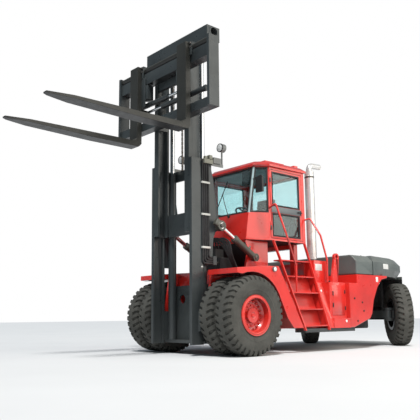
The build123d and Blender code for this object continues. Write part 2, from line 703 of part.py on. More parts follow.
def dashboard():
    """Console behind the windscreen."""
    floor = CAB_FLOOR + 30
    front = cab_front(SILL_Z) - WALL_T - 8
    return plate_xz([(front, floor), (front, SILL_Z - 30), (front - 130, SILL_Z - 60), (front - 60, floor)],
                    -480, 480)


def mirror_left():
    """Left mirror on its bent arm."""
    arm = pipe([(-870, 585, 3330), (-720, 985, 3330), (-645, 995, 3200)], 12, 35)
    arm -= cab_body(0, CAB_FLOOR, CAB_TOP)
    return arm + block(-668, -622, 910, 1082, 2985, 3285)


def exhaust():
    """Upright exhaust: muffler, stack and turned tip."""
    pipe_r = 60
    x = EXHAUST_X
    can = bar_z(x, 700, 1740, CAB_TOP + 110, EXHAUST_R)
    stack = pipe([(x, 700, 1520), (x, 700, CAB_TOP + 245), (x - 340, 700, CAB_TOP + 262)], pipe_r, 100)
    return can + stack


def deck():
    """Red deck and cover between cab and hood."""
    cover = block(HOOD_X1 + 5, CAB_BACK - 65, -FRAME_OUT, FRAME_OUT, BOX_TOP - 20, FRAME_TOP)
    cover += block(HOOD_X1 + 5, CAB_BACK - 280, -520, 520, FRAME_TOP, 1760)
    cover += block(EXHAUST_X - 240, EXHAUST_X + 85, 560, 840, FRAME_TOP - 30, 1520)
    return cover


def engine_block():
    """Engine and gearbox as one plain mass."""
    return block(NECK_X + 400, CAB_BACK - 110, -420, 420, ENGINE_Z, BOX_TOP - 60)


def valve_block():
    """Hydraulic valve block in front of the cab."""
    return block(-560, -250, -420, 300, SHELF_Z, 1780) + block(-520, -300, -380, 100, 1780, 1960)


def lamps():
    """Round marker lamps on the outer sides of the fenders."""
    return both(bar_y(-525, FENDER_TOP - 55, BODY_Y, BODY_Y + 30, 46))


def outer_channel():
    """Left outer mast channel, open to the inside."""
    body = block(MAST_X0, MAST_X1, MAST_HALF_W - WEB_T, MAST_HALF_W, MAST_BOTTOM, MAST_TOP)
    body += block(MAST_X0, MAST_X0 + MAST_FLANGE_T, FLANGE_IN, MAST_HALF_W, MAST_BOTTOM, MAST_TOP)
    body += block(MAST_X1 - MAST_FLANGE_T, MAST_X1, FLANGE_IN, MAST_HALF_W, MAST_BOTTOM, MAST_TOP)
    return body


def outer_mast():
    """Outer mast: two channels, cross plates, pivot lugs and tilt brackets."""
    half = outer_channel()
    lug = [(MAST_X0 + 5, 420), (280, 455), (230, 520), (230, 600), (280, 665), (MAST_X0 + 5, 760)]
    half += plate_xz(lug, FRAME_OUT + SLIDE_GAP, FRAME_OUT + SLIDE_GAP + 30)
    half += plate_xz(lug, FRAME_IN - SLIDE_GAP - 40, FRAME_IN - SLIDE_GAP)
    half += block(MAST_X0, MAST_X0 + 120, MAST_HALF_W - 10, FRAME_OUT + SLIDE_GAP + 30, 420, 760)
    half += bar_y(PIVOT_X, PIVOT_Z, FRAME_IN - 30, FRAME_OUT + 20, PIVOT_R)
    ear = [(MAST_X0 + 5, 1600), (225, 1600), (195, 2060), (TILT_MX + 30, TILT_MZ - 105),
           (TILT_MX - 55, TILT_MZ - 60), (TILT_MX - 75, TILT_MZ + 20), (TILT_MX - 50, TILT_MZ + 175),
           (190, MAST_TOP - 320), (236, MAST_TOP - 145), (MAST_X0 + 5, MAST_TOP - 135)]
    half += plate_xz(ear, MAST_HALF_W - 40, MAST_HALF_W)
    half += bar_y(TILT_MX, TILT_MZ, MAST_HALF_W - 35, TILT_Y + 62, TILT_PIN_R - 5)
    stay = MAST_HALF_W - 28
    for z0, z1 in ((250, 780), (MAST_TOP - 245, MAST_TOP - 35)):
        half += block(200, MAST_X0 + 5, FLANGE_IN + 1, stay, z0, z1)
    mast = half + other(half)
    mast += block(200, 232, -stay, stay, 250, 780) + block(200, 232, -FLANGE_IN, FLANGE_IN, 775, 1250)
    mast += block(200, 232, -stay, stay, MAST_TOP - 245, MAST_TOP - 35)
    mast += block(200, 396, -stay, stay, 200, 252)
    mast += block(150, 232, MAST_HALF_W - 60, MAST_HALF_W + 42, 1590, 1745)
    for y in (-250, 250):
        mast -= bar_x(y, 1000, 100, 300, 85)
    return mast


def lift_barrel():
    """Left lift cylinder barrel, bored for its rod."""
    tube = bar_z(LIFT_X, LIFT_Y, 252, BARREL_TOP, LIFT_R - 4)
    return tube - bar_z(LIFT_X, LIFT_Y, 400, BARREL_TOP + 10, LIFT_ROD_R + RUN_FIT)


def lift_rod():
    """Left lift cylinder rod."""
    return bar_z(LIFT_X, LIFT_Y, BARREL_TOP - 1050, CROSS_LOW, LIFT_ROD_R)


def inner_mast():
    """Inner mast: two channels, low cross plate, guide rollers, sheave brackets and the wide crosshead with open ends."""
    z0 = INNER_BOTTOM
    z1 = INNER_TOP
    half = block(MAST_X0, MAST_X1, INNER_OUT - INNER_T, INNER_OUT, z0, z1)
    half += block(MAST_X0, MAST_X0 + INNER_T, INNER_IN, INNER_OUT, z0, z1)
    half += block(MAST_X1 - INNER_T, MAST_X1, INNER_IN, INNER_OUT, z0, z1)
    middle = (MAST_X0 + MAST_X1) / 2
    for z in (z0 + 130, z0 + 1000):
        half += bar_y(middle, z, INNER_OUT - 10, MAST_HALF_W - WEB_T - SLIDE_GAP, ROLLER_R)
    half += block(SHEAVE_X - 45, MAST_X0 + 5, 224, 252, SHEAVE_Z - 60, CROSS_LOW + 5)
    half += bar_y(SHEAVE_X, SHEAVE_Z, SHEAVE_Y - 30, 240, 30)
    mast = half + other(half)
    mast += block(MAST_X0 - 34, MAST_X0 + 4, -INNER_OUT, INNER_OUT, z0, z0 + 420)
    mast += block(CROSS_X0, CROSS_X1, -CROSS_HALF_W, CROSS_HALF_W, CROSS_LOW, CROSS_LOW + CROSS_H)
    end = bar_y(CROSS_X0 + 140, CROSS_LOW + CROSS_H - 105, CROSS_HALF_W - 160, CROSS_HALF_W + 10, 82)
    return mast - end - other(end)


def sheave():
    """Left chain sheave with its groove."""
    y0 = SHEAVE_Y - SHEAVE_W / 2
    y1 = SHEAVE_Y + SHEAVE_W / 2
    wheel = bar_y(SHEAVE_X, SHEAVE_Z, y0, y1, SHEAVE_R - 20)
    wheel += bar_y(SHEAVE_X, SHEAVE_Z, y0, y0 + 6, SHEAVE_R) + bar_y(SHEAVE_X, SHEAVE_Z, y1 - 6, y1, SHEAVE_R)
    return wheel - bar_y(SHEAVE_X, SHEAVE_Z, y0 - 5, y1 + 5, 30 + RUN_FIT)


def chain_run(sign, z_low):
    """Left chain run on one side of the sheave, straight down from the axle height."""
    x = SHEAVE_X + sign * (SHEAVE_R - 20 + CHAIN_T / 2 + 0.5)
    y0 = SHEAVE_Y - CHAIN_W / 2
    return block(x - CHAIN_T / 2, x + CHAIN_T / 2, y0, y0 + CHAIN_W, z_low, SHEAVE_Z)


def carriage_frame():
    """Fork carriage: two beams, side plates, posts with rollers and chain anchors."""
    w = CARR_HALF_W
    frame = block(CARR_X0, CARR_X1, -w, w, MID_BEAM[0], MID_BEAM[1])
    frame += block(CARR_X0, CARR_X1, -w, w, LOW_BEAM[0], LOW_BEAM[1])
    middle = (MAST_X0 + MAST_X1) / 2
    half = block(CARR_X0, SHAFT_X + SHAFT_R + 20, w - SIDE_T, w, LOW_BEAM[0], SHAFT_Z + SHAFT_R + 10)
    half += block(middle - 70, CARR_X0 + 35, POST_IN, POST_OUT, LOW_BEAM[0], MID_BEAM[1] - 100)
    for z in (LOW_BEAM[0] + 120, MID_BEAM[1] - 220):
        half += bar_y(middle, z, POST_OUT - 10, INNER_OUT - INNER_T - SLIDE_GAP, ROLLER_R - 8)
    chain_x = SHEAVE_X + SHEAVE_R - 20
    half += block(chain_x - 30, middle, SHEAVE_Y - 35, POST_IN + 10, 4500, 4550)
    return frame + half + other(half)


def fork_shaft():
    """Round shaft on which both forks hang."""
    end = CARR_HALF_W - SIDE_T
    return bar_y(SHAFT_X, SHAFT_Z, -end, end, SHAFT_R - 0.3)


def fork(side, lug_z):
    """Fork: shank, hook on the shaft, tapered blade and the lug for its positioner rod."""
    y0 = side * FORK_Y - FORK_W / 2
    y1 = side * FORK_Y + FORK_W / 2
    front = FORK_BACK + FORK_T
    heel = FORK_HEEL_Z
    shank = plate_xz(
        [(FORK_BACK, heel + 60), (FORK_BACK + 60, heel), (front + 900, heel), (FORK_TIP_X - 60, heel + 45),
         (FORK_TIP_X, heel + 60), (FORK_TIP_X, heel + 60 + FORK_TIP_T), (front + 60, heel + FORK_T),
         (front, heel + FORK_T + 60), (front, FORK_TOP), (FORK_BACK, FORK_TOP)], y0, y1)
    tip = [(FORK_BACK - 10, y0), (FORK_TIP_X - 420, y0), (FORK_TIP_X, y0 + 80), (FORK_TIP_X, y1 - 80),
           (FORK_TIP_X - 420, y1), (FORK_BACK - 10, y1)]
    shank = shank & plate_xy(tip, 0, 2 * FORK_TOP)
    hook = block(SHAFT_X - SHAFT_R, FORK_BACK + 10, y0, y1, SHAFT_Z - SHAFT_R, FORK_TOP)
    hook = hook + bar_y(SHAFT_X, SHAFT_Z, y0, y1, SHAFT_R + 6) - bar_y(SHAFT_X, SHAFT_Z, -2000, 2000, SHAFT_R)
    shank = shank - bar_y(SHAFT_X, SHAFT_Z, -2000, 2000, SHAFT_R) + hook
    inner = side * (FORK_Y - FORK_W / 2)
    y = sorted((inner, inner + side * 60))
    return shank + block(POS_X - 50, FORK_BACK + 5, y[0], y[1], lug_z - 50, lug_z + 50)


def positioner_barrel(sign, z):
    """Cylinder that slides one fork, on the carriage posts."""
    y = sorted((-sign * 880, sign * 100))
    tube = bar_y(POS_X, z, y[0], y[1], POS_R)
    return tube - bar_y(POS_X, z, -sign * 850, sign * 110, POS_ROD_R + RUN_FIT)


def positioner_rod(side, z):
    """Chrome rod from a positioner cylinder to the lug of its fork."""
    return bar_y(POS_X, z, -side * 400, side * (FORK_Y - FORK_W / 2), POS_ROD_R)


def along_tilt(solid):
    """Turn a piece drawn along +X from the chassis pin into the line of the left tilt cylinder."""
    rise = math.degrees(math.atan2(TILT_MZ - TILT_CZ, TILT_MX - TILT_CX))
    return Pos(TILT_CX, TILT_Y, TILT_CZ) * Rot(0, -rise, 0) * solid


def tilt_barrel():
    """Left tilt cylinder barrel with its eye on the chassis pin."""
    tube = bar_x(0, 0, 40, TILT_BARREL_END, TILT_BARREL_R)
    tube += bar_y(0, 0, -35, 55, TILT_EYE_R)
    tube -= bar_x(0, 0, 100, TILT_BARREL_END + 10, TILT_ROD_R + RUN_FIT)
    return along_tilt(tube - bar_y(0, 0, -80, 80, TILT_PIN_R + RUN_FIT))


def tilt_rod():
    """Left tilt cylinder rod with its eye round the mast pin."""
    length = math.hypot(TILT_MX - TILT_CX, TILT_MZ - TILT_CZ)
    rod = bar_x(0, 0, TILT_ROD_IN, length - 20, TILT_ROD_R)
    rod += bar_y(length, 0, -50, 50, ROD_EYE_R)
    return along_tilt(rod - bar_y(length, 0, -80, 80, TILT_PIN_R - 5 + EYE_SLACK))


def mast_hoses():
    """Hose bundle held along the outer side of the left channel, into a block on the tilt bracket."""
    y = MAST_HALF_W + 20
    hoses = []
    for i in range(4):
        x = MAST_X0 - 120 + 46 * i
        low = 1720 - 36 * i
        hoses.append(pipe([(x, y, MAST_TOP - 40), (x, y, low), (232.3, y, low)], 15.5, 50))
    for z in (3060, 2470, 1870):
        hoses.append(block(MAST_X0 - 138, MAST_X0 + 36, MAST_HALF_W, MAST_HALF_W + 4.2, z, z + 50))
    return hoses


def mast_lamp():
    """Work lamp on a bent arm at the top of the left outer channel."""
    y = MAST_HALF_W - 13
    arm = block(-75, MAST_X0, y - 12, y + 12, MAST_TOP - 95, MAST_TOP - 45)
    arm += block(10, 190, y - 45, y + 45, MAST_TOP - 50, MAST_TOP + 60)
    arm += bar_z(-55, y, MAST_TOP - 55, MAST_TOP + 225, 16)
    return arm + bar_x(y, MAST_TOP + 285, -105, -5, 80)


MULTI = {
    "chassis_frame": [chassis_frame()],
    "drive_axle": [drive_axle()],
    "steer_axle": [steer_axle()],
    "front_fenders": both(front_fender()),
    "side_boxes": both(side_box()),
    "rear_bodies": both(rear_body()),
    "ladders": both(ladder()),
    "handrails": handrails() + [other(rail) for rail in handrails()],
    "engine_hood": [engine_hood()],
    "counterweight": [counterweight()],
    "tow_hitch": [tow_hitch()],
    "lifting_lugs": both(lifting_lug()),
    "deck": [deck()],
    "engine_block": [engine_block()],
    "exhaust_stack": [exhaust()],
    "valve_block": [valve_block()],
    "cab_base": [cab_base()],
    "cab_floor": [cab_floor()],
    "cab_shell": [cab_shell()],
    "cab_roof": [cab_roof()],
    "cab_glass": cab_windows(GLASS_T, GLASS_FIT),
    "seat": [seat()],
    "steering_wheel": [steering_wheel()],
    "dashboard": [dashboard()],
    "mirrors": both(mirror_left()),
    "marker_lamps": lamps(),
    "door_left": [door()],
    "door_right": [other(door())],
    "door_glass_left": door_glass(),
    "door_glass_right": [other(pane) for pane in door_glass()],
    "outer_mast": [outer_mast()],
    "lift_barrels": both(lift_barrel()),
    "mast_hoses": mast_hoses(),
    "mast_lamps": both(mast_lamp()),
    "chain_rear_runs": both(chain_run(-1, MAST_TOP - 60)),
    "inner_mast": [inner_mast()],
    "lift_rods": both(lift_rod()),
    "chain_sheaves": both(sheave()),
    "chain_front_runs": both(chain_run(1, 4550)),
    "carriage_frame": [carriage_frame()],
    "fork_shaft": [fork_shaft()],
    "positioner_barrels": [positioner_barrel(1, POS_UP_Z), positioner_barrel(-1, POS_LOW_Z)],
    "fork_left": [fork(1, POS_UP_Z)],
    "fork_right": [fork(-1, POS_LOW_Z)],
    "positioner_rod_left": [positioner_rod(1, POS_UP_Z)],
    "positioner_rod_right": [positioner_rod(-1, POS_LOW_Z)],
    "tilt_barrel_left": [tilt_barrel()],
    "tilt_barrel_right": [other(tilt_barrel())],
    "tilt_rod_left": [tilt_rod()],
    "tilt_rod_right": [other(tilt_rod())],
    "tyres_front_left": front_tyres(),
    "tyres_front_right": [other(item) for item in front_tyres()],
    "wheel_front_left": [front_wheel()],
    "wheel_front_right": [other(front_wheel())],
    "knuckle_left": [knuckle(1)],
    "knuckle_right": [knuckle(-1)],
    "tyre_rear_left": [rear_tyre(1)],
    "tyre_rear_right": [rear_tyre(-1)],
    "wheel_rear_left": [rear_wheel(1)],
    "wheel_rear_right": [rear_wheel(-1)],
}

os.makedirs("parts", exist_ok=True)
for name, solids in MULTI.items():
    moved = [Pos(X_SHIFT, 0, 0) * solid for solid in solids]
    shape = moved[0] if len(moved) == 1 else Compound(children=moved)
    export_step(shape, "parts/" + name + ".step")
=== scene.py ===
import functools
import json
import math

import bmesh
import bpy
import numpy as np
from mathutils import Matrix


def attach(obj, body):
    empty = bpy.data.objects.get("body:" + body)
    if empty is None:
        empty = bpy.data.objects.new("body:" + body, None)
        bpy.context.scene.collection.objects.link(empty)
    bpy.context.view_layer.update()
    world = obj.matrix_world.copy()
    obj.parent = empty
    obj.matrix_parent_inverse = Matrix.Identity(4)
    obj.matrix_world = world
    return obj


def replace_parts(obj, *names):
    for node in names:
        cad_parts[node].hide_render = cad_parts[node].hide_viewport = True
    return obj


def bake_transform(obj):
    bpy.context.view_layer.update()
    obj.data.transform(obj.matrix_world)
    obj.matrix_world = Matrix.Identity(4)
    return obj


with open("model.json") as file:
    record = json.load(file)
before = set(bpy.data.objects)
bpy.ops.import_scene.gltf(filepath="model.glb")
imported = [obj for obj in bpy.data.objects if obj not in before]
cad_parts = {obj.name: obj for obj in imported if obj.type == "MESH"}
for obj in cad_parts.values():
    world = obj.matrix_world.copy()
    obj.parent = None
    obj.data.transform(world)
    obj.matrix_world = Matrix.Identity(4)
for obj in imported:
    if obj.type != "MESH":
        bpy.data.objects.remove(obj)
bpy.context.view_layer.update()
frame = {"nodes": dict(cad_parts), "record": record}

bl_info = {
    "name": "Diesel Forklift Truck",
    "version": (1, 0, 0),
    "blender": (4, 5, 0),
    "location": "View3D > Sidebar > Forklift",
    "description": "Dresses the packed frame of a heavy forklift truck with its finishes and fittings",
    "category": "Object",
}

# Place of the drive axle along X in the part's frame. Lengths are in metres.
AXLE_X = 1.0
TAU = 2.0 * math.pi
UP, LEFT, AHEAD, BACK = (0, 0, 1), (0, 1, 0), (1, 0, 0), (-1, 0, 0)
# The grey castings are painted black below this height, as shade under the body.
CASTING_SHADE_LINE = 1.497
# Sill of the cab windows, and outer faces of the doors and of the body sides.
SILL_Z = 2.671
DOOR_Y = 0.82
BODY_Y = 1.42
# Places of the tail lamps and, from the drive axle, of the exhaust stack.
TAIL_LAMP_Y = (0.43, 0.56)
STACK_XY = (-2.475, 0.7)


class FORKLIFT_PG_finish(bpy.types.PropertyGroup):
    """Colours and finishes of the truck."""

    body_red: bpy.props.FloatVectorProperty(
        name="Body red", description="Colour of the body, cab and wheels", subtype="COLOR", size=3,
        min=0.0, max=1.0, default=(0.74, 0.026, 0.018))
    ballast_grey: bpy.props.FloatVectorProperty(
        name="Ballast grey", description="Colour of the counterweight and hood", subtype="COLOR", size=3,
        min=0.0, max=1.0, default=(0.12, 0.138, 0.132))
    mast_grey: bpy.props.FloatVectorProperty(
        name="Mast grey", description="Colour of the mast and carriage", subtype="COLOR", size=3,
        min=0.0, max=1.0, default=(0.042, 0.05, 0.052))
    fork_brown: bpy.props.FloatVectorProperty(
        name="Fork brown", description="Colour of the forged forks", subtype="COLOR", size=3,
        min=0.0, max=1.0, default=(0.034, 0.034, 0.03))
    glass_tint: bpy.props.FloatVectorProperty(
        name="Glass tint", description="Colour of the cab glass", subtype="COLOR", size=3,
        min=0.0, max=1.0, default=(0.6, 0.81, 0.83))
    rubber_grey: bpy.props.FloatVectorProperty(
        name="Rubber grey", description="Colour of the tyres", subtype="COLOR", size=3,
        min=0.0, max=1.0, default=(0.033, 0.033, 0.029))
    edge_round: bpy.props.FloatProperty(
        name="Edge rounding", description="Width of the rounding along plate edges", subtype="DISTANCE",
        unit="LENGTH", min=0.0, max=0.05, default=0.006)


class FORKLIFT_PG_tyre(bpy.types.PropertyGroup):
    """Sizes of one tyre."""

    radius: bpy.props.FloatProperty(
        name="Radius", description="Radius over the lugs", subtype="DISTANCE", unit="LENGTH", default=0.685)
    width: bpy.props.FloatProperty(
        name="Width", description="Width over the side walls", subtype="DISTANCE", unit="LENGTH",
        default=0.375)
    bead: bpy.props.FloatProperty(
        name="Bead radius", description="Radius where the side wall meets the rim flange", subtype="DISTANCE",
        unit="LENGTH", default=0.349)
    lugs: bpy.props.IntProperty(
        name="Lugs", description="Shoulder lugs round one side", min=12, max=60, default=36)
    groove: bpy.props.FloatProperty(
        name="Groove depth", description="Depth of the shoulder grooves", subtype="DISTANCE", unit="LENGTH",
        default=0.03)


class FORKLIFT_PG_stage(bpy.types.PropertyGroup):
    """Camera and light of the picture."""

    camera_at: bpy.props.FloatVectorProperty(
        name="Camera", description="Place of the camera", subtype="XYZ", unit="LENGTH", size=3,
        default=(7.535 + AXLE_X, 8.903, 0.675))
    yaw: bpy.props.FloatProperty(
        name="Yaw", description="Camera's heading, counted from +X towards +Y", subtype="ANGLE",
        default=math.radians(-131.219))
    pitch: bpy.props.FloatProperty(
        name="Pitch", description="Camera's rise above level", subtype="ANGLE", default=math.radians(9.862))
    roll: bpy.props.FloatProperty(
        name="Roll", description="Camera's roll", subtype="ANGLE", default=math.radians(-0.541))
    lens: bpy.props.FloatProperty(
        name="Lens", description="Focal length in mm on a 36 mm sensor", default=612.0 / 420.0 * 36.0)
    sun: bpy.props.FloatProperty(name="Sun", description="Strength of the key light", default=2.8)
    softbox: bpy.props.FloatProperty(
        name="Softbox", description="Power of the panel beyond the left side", subtype="POWER",
        default=1430.0)
    sky: bpy.props.FloatProperty(
        name="Sky", description="Strength of the soft light from all round", default=0.25)


# Mesh helpers


def ring(count):
    """Angles of a closed ring of so many steps."""
    return np.arange(count) * TAU / count


def grid_faces(rows, cols, wrap_rows=False, wrap_cols=False):
    """Corner numbers of the quads between neighbouring rows and columns of a grid, closed where asked."""
    i = np.arange(rows if wrap_rows else rows - 1)
    j = np.arange(cols if wrap_cols else cols - 1)
    i, j = np.meshgrid(i, j, indexing="ij")
    i2 = (i + 1) % rows
    j2 = (j + 1) % cols
    quad = np.stack([i * cols + j, i2 * cols + j, i2 * cols + j2, i * cols + j2], axis=-1)
    return quad.reshape(-1, 4)


def surface(points, wrap_rows=False, wrap_cols=False, caps=False):
    """A grid of points as vertices and faces. With caps, one flat face closes the first row and one the last
    row."""
    rows, cols = points.shape[:2]
    faces = grid_faces(rows, cols, wrap_rows, wrap_cols).tolist()
    if caps:
        faces.append(list(range(cols)))
        faces.append([(rows - 1) * cols + k for k in reversed(range(cols))])
    return points.reshape(-1, 3), faces


def joined(*shapes):
    """Several vertex and face sets as one."""
    verts = []
    faces = []
    start = 0
    for v, f in shapes:
        verts.append(np.asarray(v, float))
        faces.extend([[k + start for k in face] for face in f])
        start += len(v)
    return np.concatenate(verts), faces


def repeated(shape, frames):
    """One small shape set at each 4 x 4 frame: every vertex is turned and moved by every frame at once."""
    v, f = shape
    v = np.asarray(v, float)
    frames = np.asarray(frames, float)
    moved = np.einsum("kij,nj->kni", frames[:, :3, :3], v) + frames[:, None, :3, 3]
    steps = np.arange(len(frames)) * len(v)
    faces = []
    for face in f:
        faces.extend((np.asarray(face)[None, :] + steps[:, None]).tolist())
    return moved.reshape(-1, 3), faces


def placed(shape, at=(0, 0, 0), turn=None):
    """A shape turned by a 3 x 3 matrix, then moved."""
    v, f = shape
    v = np.asarray(v, float)
    if turn is not None:
        v = v @ np.asarray(turn, float).T
    return v + np.asarray(at, float), f


def mirrored(shape):
    """The same shape on the other side of the truck, with its faces turned the right way again."""
    v, f = shape
    return np.asarray(v, float) * np.array([1.0, -1.0, 1.0]), [list(reversed(face)) for face in f]


def both(shape):
    """A shape and its twin on the other side."""
    return joined(shape, mirrored(shape))


def axes_to(direction, up=UP):
    """A turn that brings +Z to a direction, with +X near to the given up direction."""
    z = np.asarray(direction, float)
    z = z / np.linalg.norm(z)
    x = np.asarray(up, float) - np.dot(up, z) * z
    if np.linalg.norm(x) < 1e-6:
        x = np.array([1.0, 0.0, 0.0]) - z[0] * z
    x = x / np.linalg.norm(x)
    return np.stack([x, np.cross(z, x), z], axis=1)


def lathe(profile, steps=48, closed=False):
    """A profile of radius and height carried round the Z axis: x = r cos a, y = r sin a, z = h."""
    p = np.asarray(profile, float)
    a = ring(steps)
    pts = np.stack([p[:, None, 0] * np.cos(a), p[:, None, 0] * np.sin(a),
                    np.repeat(p[:, None, 1], steps, axis=1)], axis=-1)
    return surface(pts, wrap_rows=closed, wrap_cols=True, caps=not closed)


def round_box(low, high, r, steps=3):
    """A box with rounded edges: a ball of radius r whose eight parts are pulled to the corners.
    Each point is the corner of the inner box on its side plus r times the ball's normal."""
    low = np.asarray(low, float)
    high = np.asarray(high, float)
    quarter = np.linspace(0.0, math.pi / 2, steps + 1)
    lat = np.concatenate([quarter - math.pi / 2, quarter])
    lon = np.concatenate([quarter + k * math.pi / 2 for k in range(4)])
    sz = np.repeat([-1.0, 1.0], steps + 1)
    sx = np.repeat([1.0, -1.0, -1.0, 1.0], steps + 1)
    sy = np.repeat([1.0, 1.0, -1.0, -1.0], steps + 1)
    n = np.stack([np.cos(lat)[:, None] * np.cos(lon), np.cos(lat)[:, None] * np.sin(lon),
                  np.repeat(np.sin(lat)[:, None], len(lon), axis=1)], axis=-1)
    s = np.stack([np.broadcast_to(sx, n.shape[:2]), np.broadcast_to(sy, n.shape[:2]),
                  np.broadcast_to(sz[:, None], n.shape[:2])], axis=-1)
    half = (high - low) / 2
    r = min(r, half.min() * 0.999)
    pts = (low + high) / 2 + s * (half - r) + n * r
    v, f = surface(pts, wrap_cols=True)
    cols = len(lon)
    rows = len(lat)
    f.append(list(reversed(range(cols))))
    f.append([(rows - 1) * cols + k for k in range(cols)])
    return v, f


def tube(path, radius, sides=12, caps=True):
    """A circle carried along a path: each ring stands across the path's direction there."""
    p = np.asarray(path, float)
    t = np.gradient(p, axis=0)
    t /= np.linalg.norm(t, axis=1, keepdims=True)
    ref = np.array([0.31, 0.57, 0.76])
    u = np.cross(t, ref)
    u /= np.linalg.norm(u, axis=1, keepdims=True)
    w = np.cross(t, u)
    a = ring(sides)
    r = np.broadcast_to(np.asarray(radius, float), (len(p),))
    pts = p[:, None, :] + r[:, None, None] * (np.cos(a)[None, :, None] * u[:, None, :]
                                               + np.sin(a)[None, :, None] * w[:, None, :])
    return surface(pts, wrap_cols=True, caps=caps)


def curve_through(points, count=40):
    """A smooth line through given points: a chain of cubic arcs whose slopes come from the neighbours."""
    p = np.asarray(points, float)
    s = np.concatenate([[0.0], np.cumsum(np.linalg.norm(np.diff(p, axis=0), axis=1))])
    m = np.gradient(p, s, axis=0)
    q = np.linspace(0.0, s[-1], count)
    k = np.clip(np.searchsorted(s, q, side="right") - 1, 0, len(s) - 2)
    h = (s[k + 1] - s[k])[:, None]
    x = ((q - s[k]) / (s[k + 1] - s[k]))[:, None]
    return ((2 * x ** 3 - 3 * x ** 2 + 1) * p[k] + (x ** 3 - 2 * x ** 2 + x) * h * m[k]
            + (3 * x ** 2 - 2 * x ** 3) * p[k + 1] + (x ** 3 - x ** 2) * h * m[k + 1])


def hex_bolt(across=0.036, height=0.022, washer=0.028):
    """A bolt head on its washer, on +Z: three rings of six corners stacked by height, over a round plate."""
    r = across / math.sqrt(3.0)
    a6 = ring(6)
    head = np.stack([np.stack([k * r * np.cos(a6), k * r * np.sin(a6), np.full(6, z)], axis=-1)
                     for k, z in ((1.0, 0.004), (1.0, height * 0.85), (0.86, height))])
    plate = lathe([(washer, 0.0), (washer, 0.004)], 12)
    return joined(surface(head, wrap_cols=True, caps=True), plate)


def frames_at(points, normal, up=UP):
    """Frames that set a shape drawn on +Z at points, facing one way."""
    p = np.asarray(points, float)
    out = np.zeros((len(p), 4, 4))
    out[:, :3, :3] = axes_to(normal, up)
    out[:, :3, 3] = p
    out[:, 3, 3] = 1.0
    return out


def new_piece(name, shape, slot, body="chassis", smooth=35.0, material=None):
    """A mesh object at the origin with its place in its mesh, its body, and its slot's finish or one of its
    own. A piece that runs between two bodies is given no body of its own."""
    v, f = shape
    mesh = bpy.data.meshes.new(name)
    mesh.from_pydata(np.asarray(v, float).tolist(), [], f)
    mesh.validate()
    mesh.update()
    obj = bpy.data.objects.new(name, mesh)
    bpy.context.collection.objects.link(obj)
    mesh.materials.append(material or finishes()[slot])
    face_out(mesh)
    shade(obj, smooth)
    if body is not None:
        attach(obj, body)
    return obj


def face_out(mesh):
    """Turn every closed shell's faces outward."""
    bm = bmesh.new()
    bm.from_mesh(mesh)
    bmesh.ops.recalc_face_normals(bm, faces=bm.faces)
    bm.to_mesh(mesh)
    bm.free()


def shade(obj, degrees):
    """Smooth shading with edges sharper than an angle kept sharp."""
    mesh = obj.data
    mesh.polygons.foreach_set("use_smooth", np.ones(len(mesh.polygons), dtype=bool))
    mesh.set_sharp_from_angle(angle=math.radians(degrees))


def round_edges(obj, width):
    """Round the edges between faces that meet at more than 30 degrees."""
    mod = obj.modifiers.new("round", "BEVEL")
    mod.width = width
    mod.segments = 2
    mod.limit_method = "ANGLE"
    mod.angle_limit = math.radians(30.0)
    mod.harden_normals = True


# Bores that a pin turns in: place along X and Z, and radius.
BORES = {"chassis_frame": (AXLE_X + 0.33, 0.56, 0.05)}


def ease_bore(mesh, x, z, radius, room=0.002):
    """Opens a bore along Y: each point on its wall moves out along its own radius, so that a faceted pin can
    turn in it."""
    at = np.empty(3 * len(mesh.vertices))
    mesh.vertices.foreach_get("co", at)
    at = at.reshape(-1, 3)
    out = at[:, [0, 2]] - (x, z)
    reach = np.linalg.norm(out, axis=1)
    wall = np.abs(reach - radius) < 0.001
    at[np.ix_(wall, [0, 2])] += room * out[wall] / reach[wall, None]
    mesh.vertices.foreach_set("co", at.ravel())


def rounded_node(node, width, material):
    """A copy of a CAD node whose plate edges are rounded, in place of the node."""
    mesh = frame["nodes"][node].data.copy()
    bm = bmesh.new()
    bm.from_mesh(mesh)
    bmesh.ops.remove_doubles(bm, verts=bm.verts, dist=1e-5)
    bmesh.ops.dissolve_limit(bm, angle_limit=math.radians(1.0), verts=bm.verts, edges=bm.edges,
                             use_dissolve_boundaries=False)
    bmesh.ops.triangulate(bm, faces=bm.faces)
    bm.to_mesh(mesh)
    bm.free()
    if node in BORES:
        ease_bore(mesh, *BORES[node])
    mesh.materials.clear()
    mesh.materials.append(material)
    obj = bpy.data.objects.new(node + "_dressed", mesh)
    bpy.context.collection.objects.link(obj)
    shade(obj, 35.0)
    round_edges(obj, width)
    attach(obj, NODE_BODY[node])
    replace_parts(obj, node)


NODE_BODY = {n: body for body, names in frame["record"]["behaviour"]["bodies"].items() for n in names}
NODE_SLOT = {row["node"]: row["material_slot"] for row in frame["record"]["subparts"]}


# Finishes


